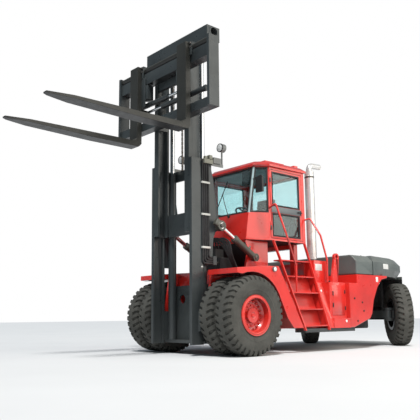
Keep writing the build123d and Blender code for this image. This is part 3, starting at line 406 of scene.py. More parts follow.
class Shader:
    """Builds one node material on Object coordinates."""

    def __init__(self, name):
        """Find the material by its name, or start it."""
        self.mat = bpy.data.materials.get(name)
        self.fresh = self.mat is None
        if self.fresh:
            self.mat = bpy.data.materials.new(name)
            self.mat.use_nodes = True
            self.tree = self.mat.node_tree
            self.bsdf = self.tree.nodes["Principled BSDF"]
            self.coords = self.node("TexCoord").outputs["Object"]

    def feed(self, value, socket):
        """Lead a link to a socket, or set it to a colour, vector or number."""
        if hasattr(value, "is_linked"):
            self.tree.links.new(value, socket)
        elif socket.type == "RGBA":
            socket.default_value = (*value, 1.0)
        else:
            socket.default_value = value

    def node(self, kind, **inputs):
        """A new node with some of its inputs led from links or set to values."""
        node = self.tree.nodes.new("ShaderNode" + kind)
        for name, value in inputs.items():
            self.feed(value, node.inputs[name])
        return node

    def link(self, out, socket):
        """Lead an output to one of the shader's own sockets."""
        self.tree.links.new(out, self.bsdf.inputs[socket])

    def set(self, **values):
        """Set plain values on the shader's own sockets."""
        for key, value in values.items():
            self.bsdf.inputs[key.replace("_", " ")].default_value = value

    def noise(self, scale, detail=3.0, rough=0.55, stretch=None):
        """Noise over the object, stretched along axes where asked."""
        place = self.coords
        if stretch is not None:
            place = self.node("Mapping", Vector=place, Scale=stretch).outputs["Vector"]
        return self.node("TexNoise", Vector=place, Scale=scale, Detail=detail, Roughness=rough).outputs["Fac"]

    def wave(self, scale, along="X", wobble=0.0):
        """Straight bands across one axis of the object."""
        node = self.node("TexWave", Vector=self.coords, Scale=scale, Distortion=wobble)
        node.bands_direction = along
        return node.outputs["Fac"]

    def ramp(self, fac, stops):
        """Colour ramp from a list of position and value or colour."""
        node = self.node("ValToRGB", Fac=fac)
        while len(node.color_ramp.elements) < len(stops):
            node.color_ramp.elements.new(0.5)
        for element, (pos, value) in zip(node.color_ramp.elements, stops):
            element.position = pos
            rgb = value if hasattr(value, "__len__") else (value, value, value)
            element.color = (*rgb, 1.0)
        return node.outputs["Color"]

    def mix(self, fac, a, b):
        """Blend two colours or links by a factor. A mix node's colours are sockets 6 and 7 and output 2."""
        node = self.node("Mix")
        node.data_type = "RGBA"
        for value, socket in ((fac, 0), (a, 6), (b, 7)):
            self.feed(value, node.inputs[socket])
        return node.outputs[2]

    def math(self, kind, a, b):
        """One sum on two numbers or links, kept between 0 and 1."""
        node = self.node("Math")
        node.operation = kind
        node.use_clamp = True
        self.feed(a, node.inputs[0])
        self.feed(b, node.inputs[1])
        return node.outputs[0]

    def height(self):
        """Height above the ground in metres."""
        return self.node("SeparateXYZ", Vector=self.coords).outputs["Z"]

    def beyond(self, normal, limit):
        """1 where the place along a direction is less than a limit, else 0."""
        dot = self.node("VectorMath")
        dot.operation = "DOT_PRODUCT"
        self.feed(self.coords, dot.inputs[0])
        self.feed(normal, dot.inputs[1])
        return self.math("LESS_THAN", dot.outputs["Value"], limit)

    def facing(self, sign):
        """How far the surface faces up, or with a sign of -1 down, from 0 to 1."""
        normal = self.node("NewGeometry").outputs["Normal"]
        return self.math("MULTIPLY", self.node("SeparateXYZ", Vector=normal).outputs["Z"], sign)

    def bump(self, fac, strength, distance):
        """Fine relief from a height."""
        node = self.node("Bump", Height=fac, Strength=strength, Distance=distance)
        self.link(node.outputs["Normal"], "Normal")


# Black that paints shade: undersides, and the parts beyond given planes, are mixed towards it.
PAINTED_SHADE_BLACK = (0.016, 0.016, 0.017)


def tint(colour, gain, lift=0.0):
    """A colour made lighter or darker."""
    return tuple(min(1.0, c * gain + lift) for c in colour)


def finish(build):
    """A finish that is built once, and found by its name after that."""
    @functools.wraps(build)
    def made(name, *args, **kwargs):
        s = Shader(name)
        if s.fresh:
            build(s, *args, **kwargs)
        return s.mat
    return made


@finish
def paint(s, colour, rough=0.32, dust=0.16, coat=0.35, shine=0.35, black=()):
    """Sprayed paint: tone drifts slowly, dust lies on upward faces and low down, the underside is painted
    black as shade, and so is what lies beyond the given planes; with a fine orange peel."""
    tone = s.ramp(s.noise(1.7, 4.0),
                  [(0.3, tint(colour, 0.8)), (0.52, colour), (0.75, tint(colour, 1.08, 0.004))])
    low = s.math("SUBTRACT", 1.0, s.math("MULTIPLY", s.height(), 0.75))
    above = s.math("MULTIPLY", s.facing(1.0), 0.8)
    dirt = s.math("MULTIPLY", s.math("ADD", above, s.math("MULTIPLY", low, 0.55)), dust)
    dirt = s.math("MULTIPLY", dirt, s.ramp(s.noise(5.0, 5.0), [(0.25, 0.35), (0.7, 1.0)]))
    # Painted shade: downward faces, and what lies beyond the given planes, go black.
    painted_shade = s.math("MULTIPLY", s.facing(-1.0), 0.9)
    for normal, limit in black:
        painted_shade = s.math("MAXIMUM", painted_shade, s.beyond(normal, limit))
    s.link(s.mix(painted_shade, s.mix(dirt, tone, (0.27, 0.235, 0.19)), PAINTED_SHADE_BLACK), "Base Color")
    s.link(s.math("ADD", s.ramp(s.noise(9.0, 4.0), [(0.3, rough * 0.82), (0.7, rough * 1.2)]),
                  s.math("MULTIPLY", dirt, 0.5)), "Roughness")
    s.bump(s.noise(60.0, 2.0), 0.05, 0.002)
    s.set(Coat_Weight=coat, Coat_Roughness=0.12, Specular_IOR_Level=shine)


@finish
def cast(s, colour):
    """Painted iron casting: a slightly lumpy skin, pale dust on top and darker stains, and painted shade:
    black underneath and below the shade line.
    """
    tone = s.ramp(s.noise(2.3, 6.0, 0.6),
                  [(0.28, tint(colour, 0.72)), (0.5, colour), (0.78, tint(colour, 1.16))])
    dirt = s.math("MULTIPLY", s.facing(1.0), s.ramp(s.noise(4.0, 6.0), [(0.3, 0.05), (0.75, 0.38)]))
    # Painted shade: black below the shade line and on downward faces.
    painted_shade = s.math("MAXIMUM", s.beyond(UP, CASTING_SHADE_LINE), s.math("MULTIPLY", s.facing(-1.0), 0.8))
    s.link(s.mix(painted_shade, s.mix(dirt, tone, (0.33, 0.31, 0.27)), PAINTED_SHADE_BLACK), "Base Color")
    s.link(s.ramp(s.noise(14.0, 4.0), [(0.3, 0.36), (0.7, 0.52)]), "Roughness")
    s.bump(s.noise(26.0, 5.0, 0.6), 0.22, 0.004)
    s.set(Coat_Weight=0.15, Coat_Roughness=0.25)


@finish
def chrome(s):
    """Polished rod with fine scratches along its length and a trace of oil."""
    s.link(s.ramp(s.noise(3.0, 4.0), [(0.3, (0.7, 0.71, 0.73)), (0.7, (0.86, 0.87, 0.88))]), "Base Color")
    s.link(s.ramp(s.noise(30.0, 5.0, 0.6, (1.0, 1.0, 0.05)), [(0.35, 0.06), (0.7, 0.2)]), "Roughness")
    s.set(Metallic=1.0)


@finish
def steel(s, colour, rough=0.38, stretch=(1.0, 1.0, 12.0), metal=0.9):
    """Worked steel: brushed streaks, oil stains and a little brown in the hollows."""
    brown = (colour[0] * 0.72, colour[1] * 0.56, colour[2] * 0.44)
    stain = s.ramp(s.noise(6.0, 6.0, 0.65), [(0.42, 0.0), (0.75, 0.75)])
    s.link(s.mix(stain, colour, brown), "Base Color")
    s.link(s.ramp(s.noise(40.0, 4.0, 0.6, stretch), [(0.3, rough * 0.75), (0.7, rough * 1.35)]), "Roughness")
    s.bump(s.noise(70.0, 3.0, 0.6, stretch), 0.06, 0.001)
    s.set(Metallic=metal)


@finish
def rubber(s, colour, dusty=0.5):
    """Tyre rubber: matt, greyed by dust in patches, with a fine moulded grain."""
    tone = s.ramp(s.noise(3.2, 5.0), [(0.25, colour), (0.8, tint(colour, 2.5, 0.012))])
    film = s.ramp(s.noise(22.0, 6.0, 0.7), [(0.35, 0.0), (0.8, dusty)])
    s.link(s.mix(film, tone, (0.115, 0.108, 0.095)), "Base Color")
    s.link(s.ramp(s.noise(16.0, 4.0), [(0.3, 0.72), (0.7, 0.92)]), "Roughness")
    s.bump(s.noise(180.0, 3.0), 0.12, 0.001)
    s.set(Specular_IOR_Level=0.3)


@finish
def plastic(s, colour, rough=0.5):
    """Moulded plastic with a fine leather-like grain."""
    s.link(s.ramp(s.noise(5.0, 4.0), [(0.3, colour), (0.8, tint(colour, 1.5, 0.006))]), "Base Color")
    s.link(s.ramp(s.noise(60.0, 3.0), [(0.3, rough * 0.85), (0.7, rough * 1.2)]), "Roughness")
    s.bump(s.noise(420.0, 2.0), 0.15, 0.0006)


@finish
def pane(s, colour):
    """Clear tinted glass with a faint dusty film."""
    film = s.ramp(s.noise(4.0, 5.0), [(0.4, 0.0), (0.9, 0.16)])
    s.link(s.mix(film, colour, (0.86, 0.9, 0.88)), "Base Color")
    s.link(s.ramp(s.noise(7.0, 4.0), [(0.4, 0.015), (0.85, 0.07)]), "Roughness")
    s.set(Transmission_Weight=1.0, IOR=1.45)


@finish
def lamp_glass(s, colour):
    """Moulded lamp lens with fine vertical flutes."""
    s.link(s.ramp(s.noise(30.0, 3.0), [(0.3, colour), (0.8, tint(colour, 1.2, 0.02))]), "Base Color")
    s.link(s.ramp(s.noise(50.0), [(0.3, 0.06), (0.7, 0.16)]), "Roughness")
    s.bump(s.wave(26.0), 0.25, 0.002)
    s.set(Coat_Weight=0.6, Coat_Roughness=0.04)


@finish
def cloth(s, colour):
    """Woven seat cloth: two crossed wave patterns as threads, with lint."""
    thread = s.math("MULTIPLY", s.wave(130.0, "X", 0.6), s.wave(130.0, "Z", 0.6))
    lint = s.math("MULTIPLY", thread, s.ramp(s.noise(12.0), [(0.3, 0.4), (0.8, 1.0)]))
    s.link(s.mix(lint, colour, tint(colour, 2.2, 0.01)), "Base Color")
    s.link(s.ramp(s.noise(30.0), [(0.3, 0.8), (0.7, 0.95)]), "Roughness")
    s.bump(thread, 0.4, 0.0008)
    s.set(Sheen_Weight=0.35, Sheen_Roughness=0.5)


@finish
def pale_floor(s):
    """Matt studio floor with a barely seen drift in its tone."""
    s.link(s.ramp(s.noise(0.4), [(0.3, 0.79), (0.7, 0.82)]), "Base Color")
    s.set(Roughness=0.75, Specular_IOR_Level=0.2)


def finishes():
    """The truck's finishes by the name of their slot."""
    c = bpy.context.scene.forklift_finish
    return {
        "red_paint": paint("body red", tuple(c.body_red), dust=0.12, coat=0.9, shine=0.5),
        "grey_paint": cast("ballast grey", tuple(c.ballast_grey)),
        "mast_paint": paint("mast grey", tuple(c.mast_grey), dust=0.13, coat=0.0, shine=0.5),
        "fork_steel": paint("forged fork", tuple(c.fork_brown), rough=0.36, dust=0.25, coat=0.0),
        "chrome": chrome("hard chrome"),
        "chain_steel": steel("oiled chain", (0.16, 0.155, 0.15), rough=0.42),
        "bright_steel": steel("bright stack", (0.82, 0.82, 0.81), rough=0.24, stretch=(9.0, 9.0, 1.0),
                              metal=0.45),
        "engine_iron": paint("black iron", (0.03, 0.031, 0.033), rough=0.5, dust=0.3, coat=0.0),
        "hose_rubber": rubber("hose rubber", (0.016, 0.016, 0.017), 0.25),
        "lamp_grey": plastic("lamp housing", (0.15, 0.155, 0.15), 0.35),
        "black_plastic": plastic("black moulding", (0.014, 0.014, 0.015)),
        "seat_fabric": cloth("seat cloth", (0.02, 0.021, 0.024)),
        "glass": pane("cab glass", tuple(c.glass_tint)),
        "tyre": rubber("tyre rubber", tuple(c.rubber_grey)),
    }


# Operators

# Nodes whose plate edges are rounded, with the share of the edge setting that each takes.
ROUNDED = {
    "chassis_frame": 0.8, "front_fenders": 1.6, "side_boxes": 2.2, "rear_bodies": 3.0, "ladders": 0.5,
    "lifting_lugs": 1.0, "deck": 2.5, "cab_base": 2.0, "cab_shell": 1.6, "cab_roof": 2.5,
    "engine_hood": 6.0, "counterweight": 6.0, "outer_mast": 0.9, "inner_mast": 0.8, "carriage_frame": 1.2,
    "fork_left": 2.0, "fork_right": 2.0, "valve_block": 1.0, "engine_block": 2.0, "door_left": 1.0,
    "door_right": 1.0, "dashboard": 3.0, "cab_floor": 0.5, "steer_axle": 2.0, "drive_axle": 1.5,
    "tow_hitch": 0.6, "knuckle_left": 1.0, "knuckle_right": 1.0,
}


def own_finish():
    """Nodes whose finish is not their slot's: the frame, painted black as shade in the rear wheel bay, the
    rear wheels, painted black as shade on their inner side, and the tilt barrels in a lighter olive that
    paints their sunlit look."""
    red = tuple(bpy.context.scene.forklift_finish.body_red)
    # Painted shade: the frame is black behind this plane, in the rear wheel bay.
    own = {"chassis_frame": paint("frame red", red, dust=0.12, coat=0.9, shine=0.5,
                                  black=[(AHEAD, AXLE_X - 3.3)])}
    # Painted light: the tilt barrels, rod ends and glands take a lighter, warmer grey than the mast, painting
    # their sunlit look.
    olive = paint("cylinder olive", (0.085, 0.085, 0.066), rough=0.34, dust=0.15, coat=0.1, shine=0.5)
    own.update({"tilt_barrel_left": olive, "tilt_barrel_right": olive})
    for name in ("rear_left", "rear_right"):
        turn, places, side = WHEELS[name][2:]
        out = turn @ np.array([0.0, side, 0.0])
        # Painted shade: each rear wheel is black on its inner side, which is turned away from the sun.
        own["wheel_" + name] = paint("wheel red " + name, red, dust=0.12, coat=0.1, shine=0.3,
                                     black=[(tuple(out), float(np.dot(places[-1], out)) + 0.02)])
    return own


class FORKLIFT_OT_finish(bpy.types.Operator):
    """Gives every CAD node its finish, and rounds the edges of the plated ones."""

    bl_idname = "forklift.finish"
    bl_label = "Finish the frame"

    def execute(self, context):
        kinds = finishes()
        edge = context.scene.forklift_finish.edge_round
        own = own_finish()
        for node, obj in frame["nodes"].items():
            material = own.get(node, kinds[NODE_SLOT[node]])
            if node in ROUNDED:
                rounded_node(node, edge * ROUNDED[node], material)
                continue
            obj.data.materials.clear()
            obj.data.materials.append(material)
        return {"FINISHED"}


# Wheels


def tyre_shape(t):
    """One tyre about the Y axis, its middle at the origin. Rows follow the cross profile of width y and
    radius r, columns go round. Where the row's groove share m and the column's groove mark are both 1, the
    point sinks by the groove depth along the profile's own normal. Each row is turned a little more towards
    the shoulder, so that the grooves slant, and the two shoulders stand half a pitch apart."""
    w = t.width / 2
    R = t.radius
    half = np.array([
        (0.0, R, 0.0), (0.026, R, 0.0), (0.046, R - 0.0005, 0.0), (0.052, R - 0.001, 0.9),
        (0.095, R - 0.0025, 1.0), (0.132, R - 0.008, 1.0), (0.155, R - 0.022, 1.0), (0.169, R - 0.045, 1.0),
        (0.176, R - 0.075, 0.85), (0.179, R - 0.088, 0.12), (w - 0.006, R - 0.098, 0.0),
        (w - 0.001, R - 0.135, 0.0), (w, R - 0.18, 0.0), (w - 0.004, R - 0.225, 0.0),
        (w - 0.0075, R - 0.243, 0.0), (w - 0.0052, R - 0.25, 0.0), (w - 0.0095, R - 0.257, 0.0),
        (w - 0.016, R - 0.288, 0.0),
        (w - 0.03, R - 0.322, 0.0), (w - 0.0372, t.bead, 0.0), (w - 0.0376, t.bead - 0.002, 0.0),
        (w - 0.0385, 0.3065, 0.0)])
    rows = np.concatenate([half[:0:-1] * (-1.0, 1.0, 1.0), half])
    y, r, m = rows.T
    normal = np.stack([-np.gradient(r), np.gradient(y)], axis=1)
    normal /= np.linalg.norm(normal, axis=1, keepdims=True)
    pitch = TAU / t.lugs
    part = np.array([(0.0, 1.0), (0.16, 1.0), (0.34, 1.0), (0.42, 0.0), (0.68, 0.0), (0.94, 0.0)])
    base = (np.arange(t.lugs)[:, None] * pitch + part[None, :, 0] * pitch).ravel()
    mark = np.tile(part[:, 1], t.lugs)
    side = np.clip(y / 0.04, -1.0, 1.0)
    turn = side * pitch / 4 + np.clip(np.abs(y) - 0.045, 0.0, 0.14) * 0.55
    sink = t.groove * m[:, None] * mark[None, :]
    yy = y[:, None] - sink * normal[:, 0:1]
    rr = r[:, None] - sink * normal[:, 1:2]
    a = base[None, :] + turn[:, None]
    return surface(np.stack([rr * np.cos(a), yy, rr * np.sin(a)], axis=-1), wrap_rows=True, wrap_cols=True)


# Parked angle of the steered wheels.
STEER = math.radians(47.0)
STEER_TURN = np.array([[math.cos(STEER), -math.sin(STEER), 0.0], [math.sin(STEER), math.cos(STEER), 0.0],
                       [0.0, 0.0, 1.0]])
TYRE_R = 0.685
TWIN_Y = (0.8975, 1.3125)
KINGPIN = np.array([AXLE_X - 4.7, 1.0, TYRE_R])
# Middle of the steered tyre out from its kingpin, and the rim's face out from the middle of a tyre.
STEERED_OUT = 0.22
RIM_OUT = 0.166
# For each wheel its body, the node that its tyres stand for, its turn, the middles of its tyres and its side.
WHEELS = {
    "front_left": ("front_wheel_left", "tyres_front_left", np.eye(3),
                   [(AXLE_X, y, TYRE_R) for y in TWIN_Y], 1.0),
    "front_right": ("front_wheel_right", "tyres_front_right", np.eye(3),
                    [(AXLE_X, -y, TYRE_R) for y in TWIN_Y], -1.0),
    "rear_left": ("rear_wheel_left", "tyre_rear_left", STEER_TURN,
                  [KINGPIN + STEER_TURN @ (0.0, STEERED_OUT, 0.0)], 1.0),
    "rear_right": ("rear_wheel_right", "tyre_rear_right", STEER_TURN,
                   [KINGPIN * (1, -1, 1) + STEER_TURN @ (0.0, -STEERED_OUT, 0.0)], -1.0),
}


class FORKLIFT_OT_tyres(bpy.types.Operator):
    """Makes the tyres with their shoulder lugs in place of the plain ones."""

    bl_idname = "forklift.tyres"
    bl_label = "Make the tyres"

    def execute(self, context):
        shape = tyre_shape(context.scene.forklift_tyre)
        for name, (body, node, turn, places, _) in WHEELS.items():
            tyres = joined(*[placed(shape, at, turn) for at in places])
            obj = new_piece("lugged_tyre_" + name, tyres, "tyre", body, smooth=32.0)
            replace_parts(obj, node)
        return {"FINISHED"}


def bolt_circle(bolt, count, radius, height):
    """Bolts at even steps round the Z axis."""
    a = ring(count)
    spots = np.stack([radius * np.cos(a), radius * np.sin(a), np.full(count, height)], axis=1)
    return repeated(bolt, frames_at(spots, UP, AHEAD))


class FORKLIFT_OT_wheels(bpy.types.Operator):
    """Adds the dished discs, lock rings, nuts and hub covers of the wheels."""

    bl_idname = "forklift.wheels"
    bl_label = "Fit the wheel trim"

    def execute(self, context):
        # Painted highlight: the lock rings are a lighter red than the wheels, for the light along the rim
        # lip.
        lip_highlight_red = paint("wheel lip", (0.76, 0.045, 0.034), rough=0.28, dust=0.12)
        for name, (body, _, turn, places, side) in WHEELS.items():
            front = name.startswith("front")
            out = turn @ np.array([0.0, side, 0.0])
            axes = axes_to(out)
            face = np.asarray(places[-1], float) + out * RIM_OUT
            depth, hub, cap_r, cap_h = (-0.136, 0.2, 0.13, 0.045) if front else (-0.045, 0.16, 0.11, 0.04)
            dish = lathe([(hub + 0.001, depth - 0.055), (hub + 0.001, depth - 0.03), (0.232, depth - 0.026),
                          (0.25, depth - 0.02), (0.272, depth + 0.012), (0.2885, depth + 0.03),
                          (0.2885, depth - 0.055)], 64, closed=True)
            lip = lathe([(0.2902, 0.0005), (0.2902, 0.006), (0.296, 0.0095), (0.318, 0.0095), (0.33, 0.004),
                         (0.343, 0.0075), (0.3478, 0.003), (0.3478, 0.0005)], 96, closed=True)
            bolts = joined(bolt_circle(hex_bolt(0.03, 0.022, 0.022), 20, 0.247, depth - 0.021),
                           bolt_circle(hex_bolt(0.024, 0.016, 0.018), 12, hub - 0.028, depth + 0.0005))
            rise = depth + cap_h
            cap = lathe([(cap_r - 0.0005, rise + 0.0005), (cap_r - 0.006, rise + 0.007),
                         (0.06, rise + 0.0105), (0.05, rise + 0.004), (0.034, rise + 0.004),
                         (0.03, rise + 0.016), (0.002, rise + 0.018)], 48)
            new_piece("wheel_dish_" + name, placed(dish, face, axes), "red_paint", body)
            new_piece("lock_ring_" + name, placed(lip, face, axes), "red_paint", body, material=lip_highlight_red)
            new_piece("wheel_nuts_" + name, placed(bolts, face, axes), "red_paint", body, smooth=25.0)
            new_piece("hub_cap_" + name, placed(cap, face, axes), "red_paint", body)
        return {"FINISHED"}


# Lift chains

CHAIN_Y = 0.19
CHAIN_FOOT_Z = 3.475
CHAIN_ANCHOR_Z = 4.55
SHEAVE_AT = np.array([AXLE_X + 0.39, CHAIN_Y, 5.515])
SHEAVE_R = 0.1135
CHAIN_REAR_X = AXLE_X + 0.39 - SHEAVE_R
CHAIN_FRONT_X = AXLE_X + 0.39 + SHEAVE_R
LINK = 0.044


def link_plate(thick):
    """One chain plate in the XZ plane: two round eyes joined by a waist, a closed outline carried through its
    thickness along Y. The half width is the eye's circle near the ends and a shallow hollow between them."""
    end = 0.0115
    a = np.linspace(0.0, math.pi, 6)
    arc = np.stack([end * np.cos(a), LINK / 2 + end * np.sin(a)], axis=1)
    outline = np.concatenate([arc, [(-end * 0.8, 0.0)], -arc, [(end * 0.8, 0.0)]])
    front = np.stack([outline[:, 0], np.full(len(outline), -thick / 2), outline[:, 1]], axis=1)
    back = front + (0.0, thick, 0.0)
    return surface(np.stack([front, back]), wrap_cols=True, caps=True)


def chain_along(path):
    """Leaf chain along a path in one XZ plane: plates stand along the path's direction, and every second link
    is set between its neighbours, with a pin through each eye."""
    p = np.asarray(path, float)
    d = p[1:] - p[:-1]
    d /= np.linalg.norm(d, axis=1, keepdims=True)
    mid = (p[1:] + p[:-1]) / 2
    n = len(mid)
    frames = np.zeros((n, 4, 4))
    frames[:, :3, 2] = d
    frames[:, :3, 1] = LEFT
    frames[:, :3, 0] = np.cross(LEFT, d)
    frames[:, :3, 3] = mid
    frames[:, 3, 3] = 1.0
    plate = link_plate(0.0046)
    outer = joined(*[placed(plate, (0, y, 0)) for y in (-0.015, -0.005, 0.005, 0.015)])
    inner = joined(*[placed(plate, (0, y, 0)) for y in (-0.01, 0.0, 0.01)])
    pin = placed(lathe([(0.0042, -0.0185), (0.0055, -0.0175), (0.0055, 0.0175), (0.0042, 0.0185)], 8),
                 turn=axes_to(LEFT))
    pins = frames_at(p, UP, AHEAD)
    return joined(repeated(outer, frames[0::2]), repeated(inner, frames[1::2]), repeated(pin, pins))


def chain_run(x, start, end):
    """Straight leaf chain from one height to another."""
    z = np.linspace(start, end, int(round(abs(end - start) / LINK)) + 1)
    return chain_along(np.stack([np.full_like(z, x), np.full_like(z, CHAIN_Y), z], axis=1))


class FORKLIFT_OT_chains(bpy.types.Operator):
    """Makes the lift chains link by link: straight runs, and bends on the sheaves."""

    bl_idname = "forklift.chains"
    bl_label = "Make the lift chains"

    def execute(self, context):
        top = float(SHEAVE_AT[2])
        rear = both(chain_run(CHAIN_REAR_X, CHAIN_FOOT_Z, top))
        obj = new_piece("chain_rear_links", rear, "chain_steel", None, 25.0)
        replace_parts(obj, "chain_rear_runs")
        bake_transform(obj)
        front = both(chain_run(CHAIN_FRONT_X, top, CHAIN_ANCHOR_Z))
        obj = new_piece("chain_front_links", front, "chain_steel", None, 25.0)
        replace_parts(obj, "chain_front_runs")
        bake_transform(obj)
        a = np.linspace(math.pi, 0.0, 10)
        bend = SHEAVE_AT + SHEAVE_R * np.stack([np.cos(a), np.zeros_like(a), np.sin(a)], axis=1)
        new_piece("chain_bends", both(chain_along(bend)), "chain_steel", "inner_mast", 25.0)
        return {"FINISHED"}


# Fittings of the cab, the body and the mast


def P(x, y, z):
    """A point given from the drive axle, in the part's frame."""
    return np.array([AXLE_X + x, y, z], float)


def slab(x0, x1, y0, y1, z0, z1, r=0.004):
    """A block with rounded edges between limits counted from the drive axle."""
    return round_box(P(x0, y0, z0), P(x1, y1, z1), r, 2)


def turned(at, direction, profile, steps=24, closed=False):
    """A turned fitting whose axis points along a direction from a place."""
    return placed(lathe(profile, steps, closed), at, axes_to(direction))


def cab_front(z):
    """Place of the leaning windscreen wall at a height."""
    return -0.627 - 0.253 * (z - 2.12) / 1.47


def ladder_y(z):
    """Distance of the ladder's outer edge from the middle at a height."""
    return 1.425 - (z - 0.4) * 0.55 / 1.71


def prism(rows):
    """A closed outline carried from one row of corners to the next, with flat ends."""
    return surface(np.array(rows), wrap_cols=True, caps=True)


def corners(a, b, low, top):
    """Corners of a rectangle, in order, as places along two axes."""
    return (a, low), (b, low), (b, top), (a, top)


def corner_wall(z):
    """Front edge of the cab's slanting corner wall at a height, and the wall's direction from there."""
    start = P(cab_front(z), 0.612, z)
    d = P(-1.1, DOOR_Y, z) - start
    return start, d / np.linalg.norm(d)


def seal(outline, width=0.022, rise=0.008, sink=0.02):
    """Rubber strip round a four-cornered pane. A cross profile of inset s and height h goes round the
    corners: each corner is moved inwards along both its edges, so that every strip keeps its width, and out
    along the normal."""
    c = np.asarray(outline, float)
    a = np.roll(c, -1, axis=0) - c
    a /= np.linalg.norm(a, axis=1, keepdims=True)
    b = np.roll(c, 1, axis=0) - c
    b /= np.linalg.norm(b, axis=1, keepdims=True)
    inward = (a + b) / np.linalg.norm(np.cross(a, b), axis=1, keepdims=True)
    n = np.cross(a[0], a[1])
    n /= np.linalg.norm(n)
    s, h = np.array([(-0.009, -0.001), (-0.009, rise * 0.6), (-0.003, rise), (width * 0.6, rise),
                     (width, rise * 0.2), (width, -sink), (0.002, -sink)]).T
    pts = c[None] + s[:, None, None] * inward[None] + h[:, None, None] * n
    return surface(pts, wrap_rows=True, wrap_cols=True)


def swollen(name, shape, cap=0.022, pressure=4.0, voxel=0.008):
    """A seat cushion: the plain shape is remeshed, blown up a little as cloth under pressure, held to a
    largest movement, and smoothed."""
    obj = new_piece(name, shape, "seat_fabric", smooth=180.0)
    rest = obj.modifiers.new("remesh", "REMESH")
    rest.mode = "VOXEL"
    rest.voxel_size = voxel
    deps = bpy.context.evaluated_depsgraph_get()
    mesh = bpy.data.meshes.new_from_object(obj.evaluated_get(deps))
    obj.modifiers.clear()
    obj.data = mesh
    count = len(mesh.vertices)
    start = np.empty(count * 3)
    mesh.vertices.foreach_get("co", start)
    sim = obj.modifiers.new("cloth", "CLOTH")
    sim.settings.quality = 4
    sim.settings.use_pressure = True
    sim.settings.uniform_pressure_force = pressure
    sim.settings.effector_weights.gravity = 0.0
    sim.settings.tension_stiffness = 12.0
    sim.settings.compression_stiffness = 12.0
    sim.settings.bending_stiffness = 0.6
    scene = bpy.context.scene
    for step in range(1, 21):
        scene.frame_set(step)
    deps = bpy.context.evaluated_depsgraph_get()
    blown = obj.evaluated_get(deps).data
    end = np.empty(count * 3)
    blown.vertices.foreach_get("co", end)
    obj.modifiers.clear()
    scene.frame_set(1)
    move = (end - start).reshape(-1, 3)
    far = np.linalg.norm(move, axis=1, keepdims=True)
    move *= np.minimum(1.0, cap / np.maximum(far, 1e-9))
    mesh.vertices.foreach_set("co", (start.reshape(-1, 3) + move).ravel())
    mesh.update()
    shade(obj, 180.0)
    smooth = obj.modifiers.new("smooth", "SUBSURF")
    smooth.levels = 1
    smooth.render_levels = 1
    return obj


SIDES = (("left", lambda shape: shape), ("right", mirrored))


